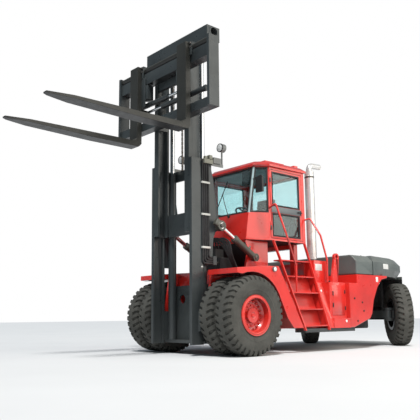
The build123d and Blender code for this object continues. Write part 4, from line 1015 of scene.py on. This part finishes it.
class FORKLIFT_OT_cab(bpy.types.Operator):
    """Fits the cab: glass seals, door rails, handles, wiper, mirrors and headliner."""

    bl_idname = "forklift.cab"
    bl_label = "Fit the cab"

    def execute(self, context):
        self.doors(self.glazing())
        visor = slab(-0.965, -0.945, 0.22, 0.52, 3.27, 3.54, 0.008)
        new_piece("sun_visor", visor, "black_plastic")
        box = slab(-2.085, -1.975, -0.64, 0.64, 2.152, 2.84, 0.02)
        new_piece("heater_box", box, "black_plastic", material=plastic("heater box", (0.1, 0.105, 0.11), 0.6))
        arm0 = P(cab_front(2.64) + 0.02, 0.06, 2.64)
        arm1 = P(cab_front(3.12) + 0.02, -0.19, 3.12)
        blade0 = P(cab_front(2.82) + 0.013, -0.33, 2.82)
        blade1 = P(cab_front(3.4) + 0.013, -0.09, 3.4)
        wiper = joined(tube([arm0, (arm0 + arm1) / 2 + (0.008, 0, 0), arm1], 0.008, 8),
                       tube([blade0, (blade0 + blade1) / 2, blade1], 0.01, 8),
                       turned(arm0 - (0.02, 0, 0), AHEAD, [(0.026, 0.0), (0.026, 0.024), (0.018, 0.034)], 20))
        new_piece("wiper", wiper, "black_plastic")
        glass = slab(-0.6715, -0.667, 0.922, 1.07, 3.0, 3.27, 0.001)
        new_piece("mirror_glass", both(glass), "chrome")
        lining = joined(slab(-2.085, -1.125, -0.765, 0.765, 3.56, 3.586, 0.006),
                        slab(-1.125, -0.95, -0.585, 0.585, 3.56, 3.586, 0.006))
        pale = plastic("headliner", (0.34, 0.36, 0.36), 0.7)
        new_piece("headliner", lining, "black_plastic", material=pale)
        return {"FINISHED"}

    def glazing(self):
        """Seals of the fixed panes. Returns the seals of a door's two panes."""
        front = [P(cab_front(z), y, z) for y, z in corners(-0.586, 0.586, SILL_Z, 3.564)]
        edge = []
        for z in (SILL_Z, 3.564):
            start, d = corner_wall(z)
            end = P(-1.1, DOOR_Y, z)
            edge.append((start + d * 0.034, end - d * 0.034))
        corner = [edge[0][0], edge[0][1], edge[1][1], edge[1][0]]
        rear = [P(-2.14, y, z) for y, z in corners(0.69, -0.69, SILL_Z, 3.519)]
        new_piece("cab_seals", joined(seal(front), both(seal(corner)), seal(rear)), "hose_rubber")
        panes = ((2.21, 2.662), (2.812, 3.485))
        return joined(*[seal([P(x, DOOR_Y, z) for x, z in corners(-1.178, -1.975, low, top)])
                        for low, top in panes])

    def doors(self, seals):
        """Rail, handle and grab loop of each door, its hinges, and the posts at the cab's front corners."""
        grey = paint("door rail", (0.15, 0.165, 0.17), rough=0.4, dust=0.1, coat=0.1)
        rail = slab(-2.03, -1.15, 0.818, 0.8235, 2.676, 2.798)
        handle = joined(slab(-2.02, -1.9, 0.846, 0.862, 2.722, 2.75, 0.007),
                        slab(-2.012, -1.992, 0.822, 0.85, 2.724, 2.748),
                        slab(-1.93, -1.912, 0.822, 0.85, 2.724, 2.748),
                        slab(-2.028, -1.985, 0.822, 0.828, 2.69, 2.782))
        loop = tube(curve_through([P(-1.64, 0.772, 2.19), P(-1.7, 0.75, 2.42), P(-1.824, 0.745, 2.545),
                                   P(-1.925, 0.75, 2.505), P(-1.94, 0.772, 2.19)], 36), 0.014, 10)
        for name, side in SIDES:
            body = "door_" + name
            new_piece("door_seals_" + name, side(seals), "hose_rubber", body)
            new_piece("door_rail_" + name, side(rail), "grey_paint", body, material=grey)
            new_piece("door_handle_" + name, side(joined(handle, loop)), "black_plastic", body)
        pin = [(0.016, 0.0), (0.018, 0.003), (0.018, 0.087), (0.016, 0.09)]
        hinge = joined(*[turned(P(-1.118, 0.832, z), UP, pin, 14) for z in (2.32, 3.27)])
        new_piece("door_hinges", both(hinge), "chain_steel")
        rows = []
        for z in (2.655, 3.58):
            start, d = corner_wall(z)
            n = np.array([d[1], -d[0], 0.0])
            x = cab_front(z)
            rows.append([P(x + 0.003, 0.588, z), P(x + 0.003, 0.61, z) + n * 0.002,
                         start + d * 0.032 + n * 0.003, start + d * 0.032 - n * 0.006,
                         P(x - 0.01, 0.606, z), P(x - 0.006, 0.588, z)])
        tinted = plastic("corner post", (0.3, 0.4, 0.41), 0.3)
        new_piece("corner_posts", both(prism(rows)), "glass", material=tinted)


class FORKLIFT_OT_seat(bpy.types.Operator):
    """Makes the padded seat on its base, with the levers beside it."""

    bl_idname = "forklift.seat"
    bl_label = "Make the seat"

    def execute(self, context):
        lean = math.radians(10.0)
        tilt = np.array([[math.cos(lean), 0.0, -math.sin(lean)], [0.0, 1.0, 0.0],
                         [math.sin(lean), 0.0, math.cos(lean)]])
        foot = P(-1.765, 0.0, 2.6)
        cushion = slab(-1.8, -1.325, -0.245, 0.245, 2.462, 2.565, 0.03)
        back = placed(round_box((-0.05, -0.232, 0.0), (0.05, 0.232, 0.54), 0.035, 3), foot, tilt)
        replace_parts(swollen("seat_cushion", cushion), "seat")
        swollen("seat_back", back)
        base = joined(slab(-1.77, -1.37, -0.2, 0.2, 2.152, 2.42, 0.02),
                      slab(-1.815, -1.32, -0.235, 0.235, 2.415, 2.452, 0.01),
                      placed(round_box((-0.07, -0.215, -0.12), (-0.052, 0.215, 0.52), 0.008, 2), foot, tilt))
        new_piece("seat_frame", base, "black_plastic")
        desk = joined(slab(-1.76, -1.26, -0.56, -0.36, 2.152, 2.64, 0.02),
                      slab(-1.74, -1.46, -0.545, -0.375, 2.645, 2.7, 0.02))
        new_piece("lever_desk", desk, "black_plastic", material=plastic("desk", (0.1, 0.105, 0.11), 0.6))
        grip = [(0.01, 0.0), (0.021, 0.014), (0.023, 0.03), (0.016, 0.048), (0.002, 0.054)]
        sticks = [joined(tube([P(-1.4, y, 2.635), P(-1.372, y, 2.76)], 0.008, 8),
                         turned(P(-1.374, y, 2.75), (0.2, 0, 1), grip, 14)) for y in (-0.52, -0.46, -0.4)]
        new_piece("levers", joined(*sticks), "black_plastic")
        return {"FINISHED"}


class FORKLIFT_OT_body(bpy.types.Operator):
    """Fits the body: ladder risers, grips, doors of the side boxes, lamps, caps, plates and louvres."""

    bl_idname = "forklift.body"
    bl_label = "Fit the body"

    def execute(self, context):
        self.ladders()
        self.side_boxes()
        self.plates()
        self.lamps()
        self.tail()
        return {"FINISHED"}

    def ladders(self):
        """Riser plates behind the treads, studs on the treads and the strips under the sills."""
        rows = []
        for z in (0.47, 1.4):
            y = ladder_y(z) - 0.172
            x = -1.345 + 0.215 * (z - 0.4) / 1.71
            rows.append([P(-2.02, y, z), P(x, y, z), P(x, y - 0.006, z), P(-2.02, y - 0.006, z)])
        new_piece("ladder_risers", both(prism(rows)), "red_paint")
        grips = []
        for k in range(5):
            z = 0.47 + 0.31 * k
            x, y = np.meshgrid(np.arange(-1.995, -1.36, 0.046),
                               ladder_y(z) - np.array([0.03, 0.075, 0.12, 0.165]))
            grips.append(np.stack([x.ravel() + AXLE_X, y.ravel(), np.full(x.size, z + 0.0255)], axis=1))
        stud = lathe([(0.009, 0.0), (0.008, 0.003), (0.002, 0.004)], 6)
        studs = repeated(stud, frames_at(np.concatenate(grips), UP, AHEAD))
        new_piece("tread_grips", both(studs), "red_paint", smooth=25.0)
        new_piece("sill_strips", both(slab(-2.9, -1.38, 1.12, 1.385, 0.362, 0.432, 0.006)), "mast_paint")

    def side_boxes(self):
        """Doors, latches and hinges of the side boxes, bolts, belly tank and filler caps."""
        door = joined(slab(-2.665, -2.26, 1.328, 1.337, 0.68, 1.262),
                      slab(-2.625, -2.3, 1.335, 1.341, 0.73, 1.212, 0.003))
        new_piece("side_box_doors", both(door), "red_paint")
        pin = [(0.01, 0.0), (0.012, 0.002), (0.012, 0.068), (0.01, 0.07)]
        latches = [joined(slab(-2.3, -2.272, 1.34, 1.352, z, z + 0.085, 0.005),
                          slab(-2.292, -2.28, 1.336, 1.346, z + 0.03, z + 0.055)) for z in (0.83, 1.06)]
        hinges = [turned(P(-2.672, 1.34, z), UP, pin, 12) for z in (0.78, 1.1)]
        new_piece("side_box_latches", both(joined(*latches, *hinges)), "black_plastic")
        spots = [P(x, BODY_Y, z) for x, z in ((-2.88, 1.01), (-3.14, 0.93), (-3.18, 0.76), (-2.96, 0.56))]
        bolts = repeated(hex_bolt(0.03, 0.014, 0.02), frames_at(spots, LEFT))
        new_piece("side_bolts", both(bolts), "engine_iron", smooth=25.0)
        belly = joined(slab(-4.05, -2.75, -0.44, 0.44, 0.395, 0.64, 0.03),
                       slab(-3.0, -1.7, -0.56, 0.56, 0.44, 0.7, 0.03),
                       slab(-5.06, -4.3, -0.22, 0.22, 0.37, 0.7, 0.03))
        new_piece("belly_tank", belly, "engine_iron")
        lid = [(0.062, 0.0), (0.062, 0.012), (0.075, 0.014), (0.075, 0.044), (0.066, 0.052), (0.02, 0.055)]
        new_piece("filler_caps", both(turned(P(-2.6, 1.05, 1.319), UP, lid, 28)), "black_plastic")

    def plates(self):
        """A pale plate on the pedestal, and pale plates on the rear body and the slanting side of the
        counterweight that paint the sun's glints there.
        """
        # Painted highlights: the plates on the rear body and the counterweight stand where the sun glints.
        x = np.array([-4.08, -4.33])
        y = BODY_Y - (-3.61 - x) * 0.17 / 1.09
        near = np.stack([P(x[0], y[0], 1.66), P(x[1], y[1], 1.66), P(x[1], y[1], 1.77), P(x[0], y[0], 1.77)])
        sign = joined(slab(-2.29, -2.085, 1.088, 1.0925, 1.56, 1.69, 0.002),
                      slab(-3.745, -3.665, 1.418, 1.4215, 1.36, 1.465, 0.001),
                      prism([near + (0, -0.003, 0), near + (0, 0.003, 0)]))
        pale = plastic("blank plate", (0.62, 0.62, 0.6), 0.4)
        new_piece("blank_and_glint_plates", both(sign), "lamp_grey", material=pale)

    def lamps(self):
        """Marker and tail lenses with their rims."""
        large = [(0.038, 0.0), (0.036, 0.005), (0.026, 0.011), (0.002, 0.014)]
        raised = [(0.026, 0.0), (0.026, 0.012), (0.018, 0.018), (0.002, 0.02)]
        small = [(0.026, 0.0), (0.026, 0.008), (0.018, 0.013), (0.002, 0.015)]
        marker = joined(turned(P(-0.525, 1.4495, 1.495), LEFT, large, 28),
                        turned(P(-2.12, ladder_y(1.15) - 0.004, 1.15), (0, 1, 0.2), raised, 20),
                        turned(P(-2.58, 1.4195, 0.56), LEFT, small, 20))
        clear = lamp_glass("clear lens", (0.8, 0.8, 0.78))
        new_piece("marker_lenses", both(marker), "lamp_grey", material=clear)
        rim = [(0.038, 0.0), (0.038, 0.006), (0.044, 0.006), (0.046, 0.0)]
        new_piece("marker_rims", both(turned(P(-0.525, 1.449, 1.495), LEFT, rim, 32, closed=True)), "chrome")
        lens = [(0.046, 0.0), (0.045, 0.01), (0.034, 0.018), (0.002, 0.022)]
        rim = [(0.046, 0.0), (0.046, 0.012), (0.053, 0.012), (0.055, 0.0)]
        lenses = [turned(P(-5.649, y, 1.69), BACK, lens, 28) for y in TAIL_LAMP_Y]
        rims = [turned(P(-5.646, y, 1.69), BACK, rim, 28, closed=True) for y in TAIL_LAMP_Y]
        red = lamp_glass("red lens", (0.55, 0.012, 0.01))
        new_piece("tail_lenses", both(joined(*lenses)), "lamp_grey", material=red)
        new_piece("tail_lamp_rims", both(joined(*rims)), "black_plastic")

    def tail(self):
        """Lifting eyes of the counterweight, louvres of the hood, and bands and foot of the exhaust."""
        a = np.linspace(0.0, math.pi, 14)
        arch = P(-4.45, 0.52, 1.925) + np.stack([0.075 * np.cos(a), 0.0 * a, 0.095 * np.sin(a)], axis=1)
        new_piece("ballast_eyes", both(tube(arch, 0.018, 12)), "engine_iron")
        slat = round_box((-0.012, -0.42, 0.0), (0.012, 0.42, 0.014), 0.004, 1)
        spots = np.stack([AXLE_X + np.arange(-3.5, -3.08, 0.045), np.zeros(10), np.full(10, 1.906)], axis=1)
        new_piece("hood_louvres", repeated(slat, frames_at(spots, UP, AHEAD)), "black_plastic", smooth=25.0)
        x, y = STACK_XY
        hoop = [(0.0965, 0.0), (0.0965, 0.034), (0.102, 0.034), (0.102, 0.0)]
        bands = joined(*[turned(P(x, y, z), UP, hoop, 48, closed=True) for z in (1.79, 3.56)],
                       *[slab(-2.395, -2.345, 0.69, 0.71, z + 0.004, z + 0.03) for z in (1.79, 3.56)])
        new_piece("exhaust_bands", bands, "chain_steel")
        feet = np.array([P(x + 0.08 * i, y + 0.08 * j, 1.52) for i in (-1, 1) for j in (-1, 1)])
        bolts = repeated(hex_bolt(0.03, 0.018, 0.022), frames_at(feet, UP, AHEAD))
        collar = [(0.06, 0.0), (0.06, 0.018), (0.09, 0.018), (0.09, 0.0)]
        flange = turned(P(x, y, 1.519), UP, collar, 32, closed=True)
        new_piece("exhaust_foot", joined(bolts, flange), "chain_steel", smooth=25.0)


class FORKLIFT_OT_hydraulics(bpy.types.Operator):
    """Adds the bulkhead, the valve block's caps and pipes, and the tilt cylinders' heads, glands and pins."""

    bl_idname = "forklift.hydraulics"
    bl_label = "Fit the hydraulics"

    def execute(self, context):
        side = np.array([(-0.622, 2.068), (-0.86, 1.64), (-0.878, 1.64), (-0.64, 2.068)])
        plate = [np.stack([AXLE_X + side[:, 0], np.full(4, y), side[:, 1]], axis=1) for y in (-0.582, 0.582)]
        new_piece("bulkhead", prism(plate), "engine_iron")
        y, z = np.meshgrid(np.linspace(-0.36, 0.24, 7), np.array([1.36, 1.52, 1.68]))
        spots = np.stack([np.full(y.size, AXLE_X - 0.2505), y.ravel(), z.ravel()], axis=1)
        port = lathe([(0.034, 0.0), (0.034, 0.02), (0.026, 0.024), (0.026, 0.06), (0.018, 0.064),
                      (0.018, 0.08), (0.004, 0.084)], 12)
        new_piece("spool_caps", repeated(port, frames_at(spots, AHEAD)), "chain_steel", smooth=30.0)
        pipes = []
        for k in range(6):
            y0 = -0.32 + 0.075 * k
            rise = 2.04 + 0.022 * (k % 3)
            line = [P(-0.42, y0, 1.95), P(-0.42, y0, rise - 0.02), P(-0.38, y0 + 0.04, rise + 0.03),
                    P(-0.3, 0.3 + 0.04 * k, rise - 0.03), P(-0.33, 0.44 + 0.022 * k, 1.8),
                    P(-0.48, 0.5 + 0.014 * k, 1.48), P(-0.6, 0.54, 1.33)]
            pipes.append(tube(curve_through(line, 44), 0.017, 10))
        for k in range(4):
            y0 = -0.3 + 0.15 * k
            step = 0.16 * (k % 2)
            line = [P(-0.172, y0, 1.36 + step), P(-0.12, y0, 1.35 + step), P(-0.105, y0 + 0.02, 1.24),
                    P(-0.16, y0 + 0.04, 1.12), P(-0.3, y0 + 0.06, 1.06)]
            pipes.append(tube(curve_through(line, 28), 0.016, 10))
        new_piece("hydraulic_pipes", joined(*pipes), "hose_rubber")
        self.tilt_cylinders()
        return {"FINISHED"}

    def tilt_cylinders(self):
        """Head of each tilt rod, gland and port of each barrel, and the caps of the pins at both ends."""
        foot = P(-0.75, 0.715, 1.77)
        eye = P(0.11, 0.715, 2.3)
        d = np.array([0.86, 0.0, 0.53])
        d /= float(np.linalg.norm(d))
        ring_end = [(0.054, 0.0), (0.054, 0.104), (0.09, 0.104), (0.096, 0.098), (0.096, 0.006), (0.09, 0.0)]
        axes = np.stack([d, LEFT, np.cross(d, LEFT)], axis=1)
        head = joined(turned(eye - (0, 0.052, 0), LEFT, ring_end, 40, closed=True),
                      placed(round_box((0.066, -0.046, -0.07), (0.15, 0.046, 0.07), 0.02, 3), eye, axes))
        collar = [(0.046, 0.545), (0.066, 0.545), (0.073, 0.552), (0.073, 0.618), (0.066, 0.628),
                  (0.046, 0.628)]
        port = [(0.02, 0.0), (0.02, 0.03), (0.014, 0.034), (0.014, 0.06), (0.003, 0.062)]
        off = np.array([-0.52 * 0.062, 0, 0.85 * 0.062])
        gland = joined(turned(foot, d, collar, 32, closed=True),
                       turned(foot + d * 0.2 + off, (-0.52, 0, 0.85), port, 12))
        # Painted light: the rod ends and glands take the barrels' sunlit olive.
        olive = own_finish()["tilt_barrel_left"]
        for name, side in SIDES:
            new_piece("rod_end_" + name, side(head), "mast_paint", "tilt_rod_" + name, material=olive)
            new_piece("gland_" + name, side(gland), "mast_paint", "tilt_barrel_" + name, material=olive)
        knob = [(0.04, 0.0), (0.042, 0.004), (0.042, 0.01), (0.036, 0.014), (0.014, 0.015), (0.012, 0.022),
                (0.002, 0.024)]
        for name, body, pin in (("tilt_pin_caps", "chassis", foot), ("mast_pin_caps", "mast", eye)):
            new_piece(name, both(turned((pin[0], 0.7765, pin[2]), LEFT, knob, 32)), "chain_steel", body)


class FORKLIFT_OT_mast(bpy.types.Operator):
    """Fits the mast and carriage: hose straps, bolts, lamp lenses, ring ends, hangers and cylinder ends."""

    bl_idname = "forklift.mast"
    bl_label = "Fit the mast"

    def execute(self, context):
        pale = paint("strap", (0.62, 0.62, 0.58), rough=0.4, dust=0.1, coat=0.0)
        straps = [slab(x0, x1, y0, 0.6455, z + 0.006, z + 0.044, 0.002) for z in (3.06, 2.47, 1.87)
                  for x0, x1, y0 in ((0.296, 0.482, 0.6405), (0.292, 0.302, 0.606), (0.476, 0.486, 0.606))]
        new_piece("hose_straps", joined(*straps), "lamp_grey", "mast", material=pale)
        block = joined(slab(0.236, 0.452, 0.606, 0.676, 3.44, 3.532, 0.008),
                       slab(0.262, 0.34, 0.612, 0.69, 3.528, 3.606, 0.008),
                       slab(0.368, 0.43, 0.612, 0.67, 3.528, 3.58, 0.008))
        olive = paint("clamp block", (0.26, 0.26, 0.21), rough=0.45, dust=0.2, coat=0.0)
        new_piece("clamp_blocks", block, "mast_paint", "mast", material=olive)
        lamp = P(-0.006, 0.592, 3.82)
        lens = [(0.072, 0.0), (0.071, 0.004), (0.05, 0.012), (0.002, 0.017)]
        clear = lamp_glass("work lens", (0.78, 0.79, 0.78))
        new_piece("work_lenses", both(turned(lamp, AHEAD, lens, 32)), "lamp_grey", "mast", material=clear)
        rim = [(0.072, -0.002), (0.072, 0.008), (0.082, 0.008), (0.084, -0.012), (0.0805, -0.012)]
        new_piece("work_lamp_rims", both(turned(lamp, AHEAD, rim, 40, closed=True)), "black_plastic", "mast")
        spots = [P(0.2, y, z) for y in np.linspace(-0.5, 0.5, 6) for z in (3.325, 3.465)]
        bolts = repeated(hex_bolt(0.036, 0.022, 0.026), frames_at(spots, BACK))
        new_piece("mast_bolts", bolts, "mast_paint", "mast", smooth=25.0)
        nipple = [(0.022, 0.0), (0.022, 0.006), (0.012, 0.01), (0.01, 0.018), (0.002, 0.02)]
        caps = both(turned(P(0.467, 0.6045, 1.542), LEFT, nipple, 18))
        new_piece("grease_caps", caps, "lamp_grey", "mast", material=pale)
        collar = [(0.081, 0.0), (0.081, 0.007), (0.1, 0.007), (0.103, 0.0)]
        ends = turned(P(0.432, 0.9495, 5.895), LEFT, collar, 40, closed=True)
        new_piece("crosshead_rings", both(ends), "mast_paint", "inner_mast")
        self.carriage()
        return {"FINISHED"}

    def carriage(self):
        """Hangers of the forks with their nuts, ends of the positioner cylinders and a block on the beam."""
        hook = joined(slab(0.818, 0.964, 0.56, 0.94, 5.42, 5.57, 0.014),
                      slab(0.94, 0.972, 0.89, 0.936, 5.3, 5.44, 0.006),
                      slab(0.94, 0.972, 0.564, 0.61, 5.3, 5.44, 0.006),
                      slab(0.937, 0.962, 0.505, 0.625, 4.72, 5.32, 0.006),
                      slab(0.79, 0.94, 0.45, 0.622, 4.865, 5.16, 0.012))
        spots = [P(0.9635, y, z) for y in (0.59, 0.91) for z in (5.455, 5.53)]
        stud = [(0.034, 0.0), (0.034, 0.004), (0.016, 0.005), (0.002, 0.008)]
        nuts = joined(repeated(hex_bolt(0.04, 0.026, 0.028), frames_at(spots, AHEAD)),
                      turned(P(0.89, 0.9395, 5.495), LEFT, stud, 20))
        for name, side in SIDES:
            new_piece("fork_hanger_" + name, side(hook), "mast_paint", "fork_" + name)
            new_piece("fork_hanger_nuts_" + name, side(nuts), "chain_steel", "fork_" + name, smooth=25.0)
        barrel = [(0.004, 0.878), (0.05, 0.878), (0.05, 1.13), (0.057, 1.132), (0.057, 1.176), (0.05, 1.18),
                  (0.004, 1.18)]
        ends = joined(turned(P(0.826, 0.0, 4.64), LEFT, barrel, 28),
                      turned(P(0.826, 0.0, 4.79), (0, -1, 0), barrel, 28))
        new_piece("positioner_ends", ends, "mast_paint", "carriage")
        block = slab(0.7, 0.765, -0.325, 0.325, 5.01, 5.176, 0.01)
        new_piece("carriage_block", block, "mast_paint", "carriage")


# Floor, light and camera

SUN_FROM = (0.36, 0.34, 0.87)
PANEL_AT = np.array([-4.2, 12.0, 8.5])
PANEL_AIM = np.array([-2.0, 0.0, 7.6])
PANEL_SIZE = (18.0, 11.0)
SENSOR_MM = 36.0


class FORKLIFT_OT_stage(bpy.types.Operator):
    """Sets the floor, the soft light and the camera."""

    bl_idname = "forklift.stage"
    bl_label = "Set the stage"

    def execute(self, context):
        st = context.scene.forklift_stage
        self.floor()
        self.sky(context.scene, st.sky)
        sun = bpy.data.lights.new("key", "SUN")
        sun.energy = st.sun
        sun.angle = math.radians(9.0)
        self.put("key", sun, axes_to(SUN_FROM), (0.0, 0.0, 0.0))
        panel = bpy.data.lights.new("softbox", "AREA")
        panel.shape = "RECTANGLE"
        panel.size, panel.size_y = PANEL_SIZE
        panel.energy = st.softbox
        panel.color = (1.0, 0.94, 0.84)
        self.put("softbox", panel, axes_to(PANEL_AT - PANEL_AIM, AHEAD), PANEL_AT)
        camera = bpy.data.cameras.new("camera")
        camera.lens = st.lens
        camera.sensor_width = SENSOR_MM
        camera.clip_end = 300.0
        ahead = np.array([math.cos(st.yaw) * math.cos(st.pitch), math.sin(st.yaw) * math.cos(st.pitch),
                          math.sin(st.pitch)])
        right = np.array([math.sin(st.yaw), -math.cos(st.yaw), 0.0])
        up = np.cross(right, ahead)
        rolled = right * math.cos(st.roll) + up * math.sin(st.roll)
        upright = up * math.cos(st.roll) - right * math.sin(st.roll)
        turn = np.stack([rolled, upright, -ahead], axis=1)
        context.scene.camera = self.put("camera", camera, turn, tuple(st.camera_at))
        context.scene.view_settings.view_transform = "Standard"
        return {"FINISHED"}

    def put(self, name, data, turn, at):
        """A lamp or camera at a place, with its axes as the columns of a turn."""
        obj = bpy.data.objects.new(name, data)
        bpy.context.collection.objects.link(obj)
        frame_of = np.eye(4)
        frame_of[:3, :3] = turn
        frame_of[:3, 3] = at
        obj.matrix_world = Matrix(frame_of.tolist())
        return obj

    def floor(self, half=90.0):
        """A wide pale floor."""
        mesh = bpy.data.meshes.new("floor")
        square = [(x, y, 0.0) for x, y in corners(-half, half, -half, half)]
        mesh.from_pydata(square, [], [(0, 1, 2, 3)])
        plane = bpy.data.objects.new("floor", mesh)
        bpy.context.collection.objects.link(plane)
        mesh.materials.append(pale_floor("pale floor"))

    def sky(self, scene, strength):
        """Soft light from all round, white to the camera and through glass."""
        scene.world = bpy.data.worlds.new("studio")
        scene.world.use_nodes = True
        tree = scene.world.node_tree
        light = tree.nodes["Background"]
        light.inputs["Color"].default_value = (0.74, 0.89, 1.0, 1.0)
        light.inputs["Strength"].default_value = strength
        white = tree.nodes.new("ShaderNodeBackground")
        white.inputs["Color"].default_value = (1.0, 1.0, 1.0, 1.0)
        white.inputs["Strength"].default_value = 1.0
        path = tree.nodes.new("ShaderNodeLightPath")
        seen = tree.nodes.new("ShaderNodeMath")
        seen.operation = "MAXIMUM"
        tree.links.new(path.outputs["Is Camera Ray"], seen.inputs[0])
        tree.links.new(path.outputs["Is Transmission Ray"], seen.inputs[1])
        pick = tree.nodes.new("ShaderNodeMixShader")
        tree.links.new(seen.outputs[0], pick.inputs["Fac"])
        tree.links.new(light.outputs[0], pick.inputs[1])
        tree.links.new(white.outputs[0], pick.inputs[2])
        tree.links.new(pick.outputs[0], tree.nodes["World Output"].inputs["Surface"])


class FORKLIFT_PT_panel(bpy.types.Panel):
    """Lists the truck's operators and settings in the sidebar."""

    bl_idname = "FORKLIFT_PT_panel"
    bl_label = "Forklift"
    bl_space_type = "VIEW_3D"
    bl_region_type = "UI"
    bl_category = "Forklift"

    def draw(self, context):
        for operator in OPERATORS:
            self.layout.operator(operator.bl_idname)
        for name in GROUPS:
            group = getattr(context.scene, name)
            box = self.layout.box()
            for key in group.__annotations__:
                box.prop(group, key)


GROUPS = {"forklift_finish": FORKLIFT_PG_finish, "forklift_tyre": FORKLIFT_PG_tyre,
          "forklift_stage": FORKLIFT_PG_stage}
OPERATORS = (FORKLIFT_OT_finish, FORKLIFT_OT_tyres, FORKLIFT_OT_wheels, FORKLIFT_OT_chains, FORKLIFT_OT_cab,
             FORKLIFT_OT_seat, FORKLIFT_OT_body, FORKLIFT_OT_hydraulics, FORKLIFT_OT_mast, FORKLIFT_OT_stage)


def register():
    """Register the settings, operators and panel."""
    for name, group in GROUPS.items():
        bpy.utils.register_class(group)
        setattr(bpy.types.Scene, name, bpy.props.PointerProperty(type=group))
    for operator in OPERATORS:
        bpy.utils.register_class(operator)
    bpy.utils.register_class(FORKLIFT_PT_panel)


def unregister():
    """Take the settings, operators and panel away again."""
    bpy.utils.unregister_class(FORKLIFT_PT_panel)
    for operator in reversed(OPERATORS):
        bpy.utils.unregister_class(operator)
    for name, group in GROUPS.items():
        delattr(bpy.types.Scene, name)
        bpy.utils.unregister_class(group)


def main():
    """Build the dressed truck."""
    register()
    for operator in OPERATORS:
        group, action = operator.bl_idname.split(".")
        getattr(getattr(bpy.ops, group), action)()


if __name__ == "__main__":
    main()
